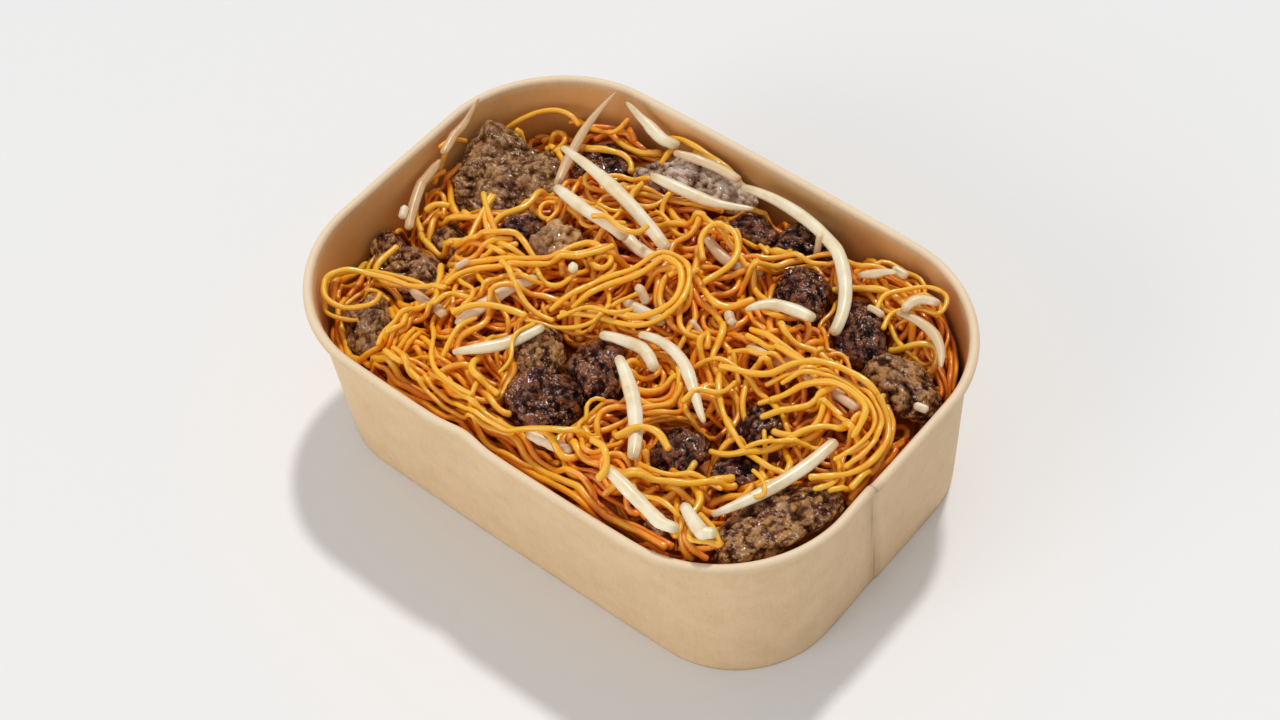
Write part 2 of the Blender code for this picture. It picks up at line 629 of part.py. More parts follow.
def lay_strand(path, ground):
    """Give a path its height, half sunk in what is below it, and mark its own top on the ground."""
    count = max(int(round(len(path) / NOODLE_STEP)) + 1, 4)
    pick = np.round(np.linspace(0, len(path) - 1, count)).astype(int)
    below = ground.rest(path[:, 0], path[:, 1], NOODLE_RADIUS, ball=False)
    eased = np.convolve(np.pad(below, 4, mode="edge"), np.ones(9) / 9, mode="valid")
    height = np.maximum(eased, below - NOODLE_RADIUS * 0.5) + NOODLE_SINK * NOODLE_RADIUS
    row, column = ground.cell_of(path[:, 0], path[:, 1])
    for down in (-1, 0, 1):
        for across in (-1, 0, 1):
            place = (np.clip(row + down, 0, ground.rows - 1), np.clip(column + across, 0, ground.columns - 1))
            np.maximum.at(ground.height, place, height + NOODLE_RADIUS * 0.9)
    return np.column_stack([path, height])[pick]


def build_strand(centres, number, holder, material):
    """One noodle as a plain tube with blunt ends, put in the collection that is fused to the core."""
    radii = np.full(len(centres), NOODLE_RADIUS)
    radii[[0, -1]] = 0.7 * NOODLE_RADIUS
    points, faces = loft(tube_rings(centres, radii, NOODLE_SIDES))
    made = add_object("strand_%02d" % number, points, faces, material)
    bpy.context.scene.collection.objects.unlink(made)
    holder.objects.link(made)


def choose_paths(ground, blocked):
    """The strands that stand out, then drawn ones that each go where the heap is barest."""
    runs = []
    bare = ~blocked
    for strand in STRANDS.values():
        for run in open_runs(arc_path(strand), blocked, ground):
            runs.append(run)
    used = np.zeros_like(blocked)
    for run in runs:
        used[ground.cell_of(run[:, 0], run[:, 1])] = True
    draw = random.Random(SEED)
    for _ in range(DRAWN_NOODLES):
        near = spread(used, NOODLE_APART)
        best = None
        for _ in range(DRAWN_TRIES):
            tried = open_runs(drawn_path(draw), blocked, ground)
            if not tried:
                continue
            cells = [ground.cell_of(run[:, 0], run[:, 1]) for run in tried]
            gain = sum(int((bare[cell] & ~near[cell]).sum() - near[cell].sum()) for cell in cells)
            if best is None or gain > best[0]:
                best = (gain, tried)
        for run in best[1]:
            runs.append(run)
            used[ground.cell_of(run[:, 0], run[:, 1])] = True
    return runs


def keep_largest_shell(target):
    """Drop loose scraps and the walls of sealed hollows, which are shells of their own."""
    work = bmesh.new()
    work.from_mesh(target.data)
    bmesh.ops.triangulate(work, faces=work.faces)
    left = set(work.faces)
    shells = []
    while left:
        shell = []
        queue = [left.pop()]
        while queue:
            face = queue.pop()
            shell.append(face)
            for edge in face.edges:
                for other in edge.link_faces:
                    if other in left:
                        left.remove(other)
                        queue.append(other)
        shells.append(shell)
    shells.sort(key=len)
    for shell in shells[:-1]:
        bmesh.ops.delete(work, geom=shell, context="FACES")
    loose = [vertex for vertex in work.verts if not vertex.link_faces]
    bmesh.ops.delete(work, geom=loose, context="VERTS")
    work.to_mesh(target.data)
    work.free()


def fuse_strands(heap, holder):
    """Join every strand to the core in one union, then remove the strands."""
    joint = heap.modifiers.new("strands", "BOOLEAN")
    joint.operation = "UNION"
    joint.operand_type = "COLLECTION"
    joint.collection = holder
    joint.solver = "EXACT"
    joint.use_self = True
    seen = heap.evaluated_get(bpy.context.evaluated_depsgraph_get())
    fused = bpy.data.meshes.new_from_object(seen)
    heap.modifiers.clear()
    heap.data = fused
    for strand in list(holder.objects):
        bpy.data.objects.remove(strand)
    bpy.data.collections.remove(holder)
    keep_largest_shell(heap)


def main():
    clear_scene()
    build_wall()
    build_base()
    heap = build_core()
    ground = Ground()
    ground.cover(heap)
    bare = ground.height.copy()
    beef_material = make_material(BEEF)
    for number, (name, piece) in enumerate(BEEF_PIECES.items()):
        made = build_beef(name, piece, number, ground, beef_material)
        ground.cover(made)
    blocked = spread(ground.height > bare + 0.01, NOODLE_RADIUS + NOODLE_CLEAR)
    topped = ground.height.copy()
    ground.height = bare.copy()
    holder = bpy.data.collections.new("strands")
    bpy.context.scene.collection.children.link(holder)
    for number, run in enumerate(choose_paths(ground, blocked)):
        build_strand(lay_strand(run, ground), number, holder, heap.data.materials[0])
    fuse_strands(heap, holder)
    ground.height = topped
    ground.cover(heap)
    sprout_material = make_material(SPROUT)
    for name, piece in SPROUT_PIECES.items():
        made = build_sprout(name, piece, ground, sprout_material)
        ground.cover(made)


main()
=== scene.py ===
"""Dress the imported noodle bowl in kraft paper, fried noodles, beef and bean sprouts, and light it.

Every shape is worked out in millimetres on numpy grids, and MM turns it into metres where its mesh is made.
The long side of the bowl runs along X and it stands on the plane z = 0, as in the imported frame.
"""

import logging
import math
import random
from dataclasses import dataclass, field
from enum import Enum
from typing import Optional, Union

import bpy
import numpy as np
from mathutils import Matrix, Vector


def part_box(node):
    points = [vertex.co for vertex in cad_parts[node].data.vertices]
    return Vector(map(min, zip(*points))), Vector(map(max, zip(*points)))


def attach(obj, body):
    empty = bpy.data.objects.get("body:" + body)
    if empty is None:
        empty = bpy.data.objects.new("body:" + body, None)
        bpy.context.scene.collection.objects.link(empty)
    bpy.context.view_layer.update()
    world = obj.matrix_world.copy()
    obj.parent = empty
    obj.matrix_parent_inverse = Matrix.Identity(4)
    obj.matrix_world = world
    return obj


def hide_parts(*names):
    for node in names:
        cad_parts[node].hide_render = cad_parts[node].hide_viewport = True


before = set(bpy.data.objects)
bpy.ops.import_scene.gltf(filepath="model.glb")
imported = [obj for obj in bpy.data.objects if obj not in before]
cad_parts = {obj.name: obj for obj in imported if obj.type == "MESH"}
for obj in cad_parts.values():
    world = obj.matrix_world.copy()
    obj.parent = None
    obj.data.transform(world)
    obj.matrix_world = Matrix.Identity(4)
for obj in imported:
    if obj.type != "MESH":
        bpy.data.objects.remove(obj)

log = logging.getLogger("noodle_bowl")

MM = 0.001
SEED = 27
BODY = "root"

# Numbers that scramble a cube's place into the chance value at its corner.
PRIMES = np.array((73856093, 19349663, 83492791))
HASH_SEED = 2654435761
HASH_STEP = 1274126177
SEED_SHIFT = 31.7
SEED_CYCLE = 97

# A tube's rounded end: how far its last ring and its pole stand out, and how wide that ring is, in radii.
CAP_REACH = 0.45
CAP_POLE = 0.75
CAP_WIDTH = 0.72

# Stands for no ground at all, and keeps a division by a length of nothing harmless.
NO_GROUND = -1e3
TINY = 1e-9

Array = np.ndarray
Colour = tuple[float, float, float]
Place = tuple[float, float, float]
Socket = bpy.types.NodeSocket
Value = Union[Socket, float]
Patch = tuple[float, float, float, float]


class Slot(Enum):
    """The record's material slots."""

    PAPER = "kraft_paper"
    BOARD = "kraft_board"
    NOODLE = "fried_noodle"
    BEEF = "fried_beef"
    SPROUT = "bean_sprout"


def mix(first: Array, second: Array, share: Array) -> Array:
    """Go from first to second as share goes from 0 to 1."""
    return first + (second - first) * share


def smooth_step(start: float, end: float, value: Array) -> Array:
    """Rise from 0 at start to 1 at end along 3t^2 - 2t^3, where t is the share of the way."""
    share = np.clip((value - start) / (end - start), 0.0, 1.0)
    return share * share * (3.0 - 2.0 * share)


def lattice_noise(points: Array, cell: float, seed: int) -> Array:
    """Smooth noise: chance values at the corners of cubes, blended across each cube by eased weights.

    Args:
        points: Places in millimetres, one row each, of two or three coordinates.
        cell: Side of a cube.
        seed: Picks the values.

    Returns:
        One value for each place, from -1 to 1.
    """
    spots = np.atleast_2d(points) / cell + SEED_SHIFT * (seed % SEED_CYCLE)
    base = np.floor(spots).astype(np.int64)
    part = spots - base
    part = part * part * (3.0 - 2.0 * part)
    width = spots.shape[1]
    total = np.zeros(len(spots))
    for corner in range(2**width):
        step = np.array([(corner >> axis) & 1 for axis in range(width)])
        key = ((base + step) * PRIMES[:width]).sum(axis=1) + seed * HASH_SEED
        key = (key ^ (key >> 13)) * HASH_STEP
        value = ((key ^ (key >> 16)) & 0xFFFF) / 32767.5 - 1.0
        weight = np.where(step, part, 1.0 - part).prod(axis=1)
        total += weight * value
    return total


def rough_noise(points: Array, cell: float, seed: int, layers: int = 3) -> Array:
    """Noise in layers, each half as large and half as high as the one before it.

    Args:
        points: Places in millimetres.
        cell: Cube size of the first layer.
        seed: Picks the values.
        layers: How many layers are added.

    Returns:
        One value for each place, from about -1 to 1.
    """
    total = np.zeros(len(points))
    for layer in range(layers):
        total += lattice_noise(points, cell / 2**layer, seed + layer) / 2**layer
    return total / 1.5


def grain_noise(points: Array, cell: float, seed: int) -> Array:
    """Distance to the nearest of points scattered one to a cube, as a share of the cube's side.

    Args:
        points: Places in millimetres, one row each.
        cell: Side of a cube.
        seed: Picks the scatter.

    Returns:
        One value for each place, from 0 to about 1.
    """
    spots = points / cell + SEED_SHIFT * (seed % SEED_CYCLE)
    base = np.floor(spots).astype(np.int64)
    nearest = np.full(len(spots), 9.0)
    for corner in range(27):
        cube = base + np.array((corner % 3, corner // 3 % 3, corner // 9)) - 1
        key = (cube * PRIMES).sum(axis=1) + seed * HASH_SEED
        away = np.zeros(len(spots))
        for axis in range(3):
            key = ((key ^ (key >> 13)) * HASH_STEP) & 0xFFFFFFFF
            away += (cube[:, axis] + ((key >> 8) & 0xFFFF) / 65535.0 - spots[:, axis]) ** 2
        nearest = np.minimum(nearest, away)
    return np.sqrt(nearest)


@dataclass
class Shell:
    """Points and faces of a surface on its way to a mesh, and the values that its points carry, by name."""

    points: Array
    quads: Array
    triangles: Array
    marks: dict[str, Array] = field(default_factory=dict)


def join_shells(shells: list[Shell]) -> Shell:
    """Put shells in one, with the numbers in their faces moved on.

    Args:
        shells: Surfaces that all have the same marks.

    Returns:
        One shell that holds them all.
    """
    starts = np.cumsum([0] + [len(shell.points) for shell in shells[:-1]])
    return Shell(
        np.concatenate([shell.points for shell in shells]),
        np.concatenate([shell.quads + start for shell, start in zip(shells, starts)]),
        np.concatenate([shell.triangles + start for shell, start in zip(shells, starts)]),
        {mark: np.concatenate([shell.marks[mark] for shell in shells]) for mark in shells[0].marks},
    )


def grid_quads(rows: int, columns: int, wrap_rows: bool, wrap_columns: bool) -> Array:
    """Faces of a grid of points numbered row by row.

    Args:
        rows: Rows of points.
        columns: Points in a row.
        wrap_rows: Whether the last row joins the first.
        wrap_columns: Whether the end of each row joins its start.

    Returns:
        Four point numbers for each face.
    """
    row, column = np.meshgrid(
        np.arange(rows if wrap_rows else rows - 1),
        np.arange(columns if wrap_columns else columns - 1),
        indexing="ij",
    )
    below = row * columns
    above = (row + 1) % rows * columns
    after = (column + 1) % columns
    return np.stack([below + column, below + after, above + after, above + column], axis=-1).reshape(-1, 4)


def skin_of_rings(rings: Array, first_pole: Array, last_pole: Array) -> Shell:
    """Close a stack of rings with a fan to a pole at each end.

    Args:
        rings: Points in rings, of shape (rings, sides, 3), that run anticlockwise seen from the last ring.
        first_pole: The point past the first ring.
        last_pole: The point past the last ring.

    Returns:
        A closed shell.
    """
    count, sides = rings.shape[:2]
    points = np.concatenate([rings.reshape(-1, 3), first_pole[None], last_pole[None]])
    side = np.arange(sides)
    after = (side + 1) % sides
    low = np.stack([after, side, np.full(sides, count * sides)], axis=-1)
    high_row = (count - 1) * sides
    high = np.stack([high_row + side, high_row + after, np.full(sides, count * sides + 1)], axis=-1)
    return Shell(points, grid_quads(count, sides, False, True), np.concatenate([low, high]))


def make_piece(
    name: str, shell: Shell, material: bpy.types.Material, slot: Slot, nodes: tuple[str, ...] = ()
) -> bpy.types.Object:
    """Make a shell an object that rides on the part.

    Args:
        name: The piece's name.
        shell: Its surface, in millimetres.
        material: Its finish.
        slot: The record's slot that the finish stands for; not used.
        nodes: CAD nodes that the piece stands for.

    Returns:
        The object, at the origin.
    """
    mesh = bpy.data.meshes.new(name)
    quads = np.ascontiguousarray(shell.quads, dtype=np.int32).reshape(-1, 4)
    triangles = np.ascontiguousarray(shell.triangles, dtype=np.int32).reshape(-1, 3)
    corners = np.concatenate([quads.ravel(), triangles.ravel()])
    starts = np.concatenate([np.arange(len(quads)) * 4, quads.size + np.arange(len(triangles)) * 3])
    mesh.vertices.add(len(shell.points))
    mesh.vertices.foreach_set("co", (shell.points * MM).astype(np.float32).ravel())
    mesh.loops.add(len(corners))
    mesh.loops.foreach_set("vertex_index", corners)
    mesh.polygons.add(len(starts))
    mesh.polygons.foreach_set("loop_start", starts.astype(np.int32))
    mesh.polygons.foreach_set("use_smooth", np.ones(len(starts), dtype=bool))
    for mark, values in shell.marks.items():
        layer = mesh.attributes.new(mark, "FLOAT", "POINT")
        layer.data.foreach_set("value", values.astype(np.float32))
    mesh.update(calc_edges=True)
    mesh.validate()
    mesh.materials.append(material)
    piece = bpy.data.objects.new(name, mesh)
    bpy.context.scene.collection.objects.link(piece)
    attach(piece, BODY)
    if nodes:
        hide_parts(*nodes)
    log.info("%s: %d triangles", name, 2 * len(quads) + len(triangles))
    return piece


class Paint:
    """A material's nodes, laid with short calls. Lengths are in millimetres."""

    def __init__(self, name: str) -> None:
        """Start a material that has only its surface shader.

        Args:
            name: The material's name.
        """
        self.material = bpy.data.materials.new(name)
        self.material.use_nodes = True
        self.tree = self.material.node_tree
        self.shader = self.tree.nodes["Principled BSDF"]
        self.place = self.tree.nodes.new("ShaderNodeTexCoord").outputs["Object"]

    def _feed(self, socket: Socket, value: Union[Value, Colour]) -> None:
        """Link a socket, or set it where the value is a constant.

        Args:
            socket: What is fed.
            value: Another socket, a number or a colour.
        """
        if isinstance(value, bpy.types.NodeSocket):
            self.tree.links.new(value, socket)
        elif isinstance(value, tuple) and len(value) == 3 and socket.type == "RGBA":
            socket.default_value = (*value, 1.0)
        else:
            socket.default_value = value

    def noise(
        self,
        size: float,
        detail: float = 2.0,
        rough: float = 0.5,
        stretch: tuple[float, float, float] = (1, 1, 1),
        warp: float = 0.0,
    ) -> Socket:
        """Noise on the object's own coordinates.

        Args:
            size: Width of a blotch.
            detail: Layers of finer noise.
            rough: Strength of the finer layers.
            stretch: How often the pattern repeats along each axis, against the others.
            warp: How much the pattern is bent.

        Returns:
            The noise, from 0 to 1.
        """
        turn = self.tree.nodes.new("ShaderNodeMapping")
        turn.inputs["Scale"].default_value = stretch
        self.tree.links.new(self.place, turn.inputs["Vector"])
        node = self.tree.nodes.new("ShaderNodeTexNoise")
        self.tree.links.new(turn.outputs["Vector"], node.inputs["Vector"])
        node.inputs["Scale"].default_value = 1.0 / (size * MM)
        node.inputs["Detail"].default_value = detail
        node.inputs["Roughness"].default_value = rough
        node.inputs["Distortion"].default_value = warp
        return node.outputs["Fac"]

    def mark(self, name: str) -> Socket:
        """A value that the mesh carries at its points.

        Args:
            name: The value's name.

        Returns:
            The value.
        """
        node = self.tree.nodes.new("ShaderNodeAttribute")
        node.attribute_name = name
        return node.outputs["Fac"]

    def height(self) -> Socket:
        """Height above the floor.

        Returns:
            The height in millimetres.
        """
        split = self.tree.nodes.new("ShaderNodeSeparateXYZ")
        self.tree.links.new(self.place, split.inputs["Vector"])
        return self.sum("MULTIPLY", split.outputs["Z"], 1.0 / MM)

    def sum(self, operation: str, first: Value, second: Value = 0.0, clamp: bool = False) -> Socket:
        """Two values joined by an operation of the Math node.

        Args:
            operation: The node's name for it.
            first: The value on its left.
            second: The value on its right.
            clamp: Whether the result is kept from 0 to 1.

        Returns:
            The result.
        """
        node = self.tree.nodes.new("ShaderNodeMath")
        node.operation = operation
        node.use_clamp = clamp
        self._feed(node.inputs[0], first)
        self._feed(node.inputs[1], second)
        return node.outputs["Value"]

    def span(self, value: Value, start: float, end: float, low: float = 0.0, high: float = 1.0) -> Socket:
        """Stretch a value over a new range, and clip it there.

        Args:
            value: What is stretched.
            start: The value that becomes low.
            end: The value that becomes high.
            low: Where the new range starts.
            high: Where it ends.

        Returns:
            The stretched value.
        """
        node = self.tree.nodes.new("ShaderNodeMapRange")
        self._feed(node.inputs["Value"], value)
        node.inputs["From Min"].default_value = start
        node.inputs["From Max"].default_value = end
        node.inputs["To Min"].default_value = low
        node.inputs["To Max"].default_value = high
        return node.outputs["Result"]

    def ramp(self, value: Value, stops: list[tuple[float, Colour]]) -> Socket:
        """Colours along a value.

        Args:
            value: What is looked up.
            stops: A place and a colour for each stop, in order.

        Returns:
            The colour.
        """
        node = self.tree.nodes.new("ShaderNodeValToRGB")
        self._feed(node.inputs["Fac"], value)
        elements = node.color_ramp.elements
        while len(elements) < len(stops):
            elements.new(1.0)
        for element, (place, colour) in zip(elements, stops):
            element.position = place
            element.color = (*colour, 1.0)
        return node.outputs["Color"]

    def blend(
        self, share: Value, first: Union[Socket, Colour], second: Union[Socket, Colour], way: str = "MIX"
    ) -> Socket:
        """Two colours mixed by a share.

        Args:
            share: How much of the second shows, from 0 to 1.
            first: The colour below.
            second: The colour above.
            way: The node's name for how they mix.

        Returns:
            The colour.
        """
        node = self.tree.nodes.new("ShaderNodeMix")
        node.data_type = "RGBA"
        node.blend_type = way
        self._feed(node.inputs["Factor"], share)
        self._feed(node.inputs[6], first)
        self._feed(node.inputs[7], second)
        return node.outputs[2]

    def relief(
        self, height: Value, depth: float, strength: float = 1.0, under: Optional[Socket] = None
    ) -> Socket:
        """A normal bent by a height.

        Args:
            height: The height, from 0 to 1.
            depth: What a height of 1 measures.
            strength: Share of the full effect.
            under: A coarser normal that this one is added to.

        Returns:
            The normal.
        """
        node = self.tree.nodes.new("ShaderNodeBump")
        node.inputs["Distance"].default_value = depth * MM
        node.inputs["Strength"].default_value = strength
        self._feed(node.inputs["Height"], height)
        if under is not None:
            self.tree.links.new(under, node.inputs["Normal"])
        return node.outputs["Normal"]

    def finish(self, **inputs: Union[Value, Colour]) -> bpy.types.Material:
        """Set the shader's sockets, whose names have underscores for spaces.

        Args:
            inputs: A link or a constant for each socket.

        Returns:
            The material.
        """
        for name, value in inputs.items():
            self._feed(self.shader.inputs[name.replace("_", " ")], value)
        return self.material


@dataclass(frozen=True)
class BowlForm:
    """Sizes of the paper bowl, and where its faces lie."""

    rim_length: float = 172.0
    rim_width: float = 122.0
    rim_corner: float = 37.0
    rim_bows: tuple[float, float] = (1.3, 1.9)
    base_length: float = 160.0
    base_width: float = 107.0
    base_corner: float = 28.0
    base_bows: tuple[float, float] = (0.9, 1.0)
    wall_height: float = 51.0
    bead_height: float = 3.0
    bead_reach: float = 2.3
    paper: float = 0.6
    foot_width: float = 1.5
    ledge_height: float = 3.2
    dent_x: float = -8.0
    dent_depth: float = 1.2
    dent_spread: float = 6.0
    seam_y: float = -8.5
    seam_height: float = 40.0
    seam_slant: float = 0.139
    seam_step: float = 0.4
    seam_fade: float = 16.0
    corner_steps: int = 30
    side_steps: int = 60

    def sizes(self, height: Array, inset: Array) -> tuple[Array, ...]:
        """The outer face at a height, drawn in by inset. Every size goes linearly from the foot to the rim.

        Args:
            height: Height above the floor.
            inset: Distance inside the outer face.

        Returns:
            Half length, half width, corner radius and the two bows.
        """
        share = np.clip(height / self.wall_height, 0.0, 1.0)
        half_x = mix(self.base_length, self.rim_length - 2 * self.bead_reach, share) / 2
        half_y = mix(self.base_width, self.rim_width - 2 * self.bead_reach, share) / 2
        corner = mix(self.base_corner, self.rim_corner - self.bead_reach, share) - inset
        bow_x = mix(self.base_bows[0], self.rim_bows[0], share)
        bow_y = mix(self.base_bows[1], self.rim_bows[1], share)
        return half_x - bow_x - inset, half_y - bow_y - inset, corner, bow_x, bow_y

    def depth(self, x: Array, y: Array, height: Array) -> tuple[Array, Array, Array]:
        """How far places lie inside the wall's inner face, and the way out to it.

        Args:
            x: Places along the bowl.
            y: Places across it.
            height: Their heights.

        Returns:
            The distance to the wall, then the way out along X and along Y.
        """
        half_x, half_y, corner, _, _ = self.sizes(height, self.paper)
        past_x = np.abs(x) - (half_x - corner)
        past_y = np.abs(y) - (half_y - corner)
        out_x = np.maximum(past_x, 0)
        out_y = np.maximum(past_y, 0)
        length = np.hypot(out_x, out_y)
        inside = np.where(length > 0, corner - length, corner - np.maximum(past_x, past_y))
        divisor = np.maximum(length, 1e-6)
        return inside, np.sign(x) * out_x / divisor, np.sign(y) * out_y / divisor

    def keep_inside(self, points: Array, margin: float) -> Array:
        """Press points that come too near the wall straight back from it.

        Args:
            points: The points, one row each.
            margin: How near to the wall they may come.

        Returns:
            The points with their own heights.
        """
        moved = points.copy()
        inside, way_x, way_y = self.depth(points[:, 0], points[:, 1], points[:, 2])
        push = np.maximum(margin - inside, 0)
        moved[:, 0] -= way_x * push
        moved[:, 1] -= way_y * push
        return moved

    def around(self) -> tuple[Array, Array, Array, Array]:
        """Where the columns of the wall's grid stand: on quarter circles, and on the sides between them.

        Returns:
            Quarter, angle, share of the side and whether the column is on a side, one value for each column.
        """
        quarter, angle, share, side = [], [], [], []
        for number in range(4):
            steps = np.arange(self.corner_steps + 1) / self.corner_steps
            quarter += [number] * len(steps)
            angle += list(np.pi / 2 * (number + steps))
            share += [0.0] * len(steps)
            side += [False] * len(steps)
            between = np.arange(1, self.side_steps) / self.side_steps
            quarter += [number] * len(between)
            angle += [np.pi / 2 * (number + 1)] * len(between)
            share += list(between)
            side += [True] * len(between)
        return np.array(quarter), np.array(angle), np.array(share), np.array(side)

    def seam_at(self, height: Array) -> Array:
        """Where the seam's line crosses a height on the near short side."""
        return self.seam_y + (self.seam_height - height) * self.seam_slant

    def grid(self, heights: Array, insets: Array, seam: Array) -> Array:
        """The bowl's surface as a function of the profile and of the way round.

        A column on a corner turns about the corner's middle, one on a side goes straight from corner to corner,
        and a parabola bows each side out. A bell-shaped dent presses the near long side in. At the seam the
        paper steps in and comes back slowly.

        Args:
            heights: Height of each row.
            insets: Inset of each row.
            seam: Share of the seam's step for each row.

        Returns:
            Points of shape (rows, columns, 3).
        """
        quarter, angle, share, side = self.around()
        height = heights[:, None]
        half_x, half_y, corner, bow_x, bow_y = self.sizes(height, insets[:, None])
        right = np.array((1, -1, -1, 1))
        far = np.array((1, 1, -1, -1))
        turn = (quarter + 1) % 4
        start_x = right[quarter] * (half_x - corner) + corner * np.cos(angle)
        start_y = far[quarter] * (half_y - corner) + corner * np.sin(angle)
        end_x = right[turn] * (half_x - corner) + corner * np.cos(angle)
        end_y = far[turn] * (half_y - corner) + corner * np.sin(angle)
        x = mix(start_x, end_x, share)
        y = mix(start_y, end_y, share)
        on_right = side & (quarter == 3)
        fade = 4 * share * (1 - share)
        y = y + on_right * fade * (self.seam_at(height) - self.seam_y)
        bulge_x = bow_x * np.clip(1 - (y / half_y) ** 2, 0, 1) * (np.abs(x) > half_x - corner)
        bulge_y = bow_y * np.clip(1 - (x / half_x) ** 2, 0, 1) * (np.abs(y) > half_y - corner)
        x = x + np.sign(x) * bulge_x
        y = y + np.sign(y) * bulge_y
        climb = np.clip((height - self.ledge_height) / (self.wall_height - self.ledge_height), 0, 1)
        dent = self.dent_depth * climb * np.exp(-(((x - self.dent_x) / self.dent_spread) ** 2))
        y = y + dent * (y < 2 - half_y)
        line = self.seam_at(height)
        before = smooth_step(-self.seam_fade, 0.0, y - line) * (1 - smooth_step(-0.5, 0.5, y - line))
        x = x - self.seam_step * seam[:, None] * before * (x > half_x - 2)
        return np.stack([x, y, np.broadcast_to(height, x.shape)], axis=-1)


@dataclass(frozen=True)
class HeapForm:
    """The height of the bare heap under the strands, as the frame has it.

    Each of its hollows is a place, a reach and a depth.
    """

    middle: float = 44.5
    dome: float = 4.0
    tilt: tuple[float, float] = (0.03, -0.045)
    drop: float = 8.0
    drop_from: float = -35.0
    drop_to: float = -78.0
    edge_drop: float = 2.5
    span: tuple[float, float] = (82.0, 58.0)
    ripple: float = 0.5
    hollows: tuple[Patch, ...] = ((-62.0, 50.0, 13.0, 6.5), (74.0, 42.0, 15.0, 5.0))

    def level(self, x: Array, y: Array) -> Array:
        """A low tilted dome that falls away at the far left and along the near wall.

        The dome is a product of two parabolas, the fall eases in, two crossed waves ripple it, and each hollow
        is bell-shaped.

        Args:
            x: Places along the bowl.
            y: Places across it.

        Returns:
            The height at each place.
        """
        across = np.clip(np.abs(x) / self.span[0], 0, 1)
        along = np.clip(np.abs(y) / self.span[1], 0, 1)
        dome = self.dome * (1 - across**2) * (1 - along**2)
        tilt = self.tilt[0] * x + self.tilt[1] * y
        drop = self.drop * smooth_step(self.drop_from, self.drop_to, x)
        edge = smooth_step(0.8, 1.0, np.maximum(across, along)) * (0.5 + 0.5 * y / self.span[1])
        ripple = self.ripple * np.sin(0.11 * x + 0.05 * y) * np.cos(0.13 * y - 0.03 * x)
        level = self.middle + dome + tilt + ripple - drop - self.edge_drop * edge
        for middle_x, middle_y, reach, depth in self.hollows:
            level = level - depth * np.exp(-((x - middle_x) ** 2 + (y - middle_y) ** 2) / reach**2)
        return level


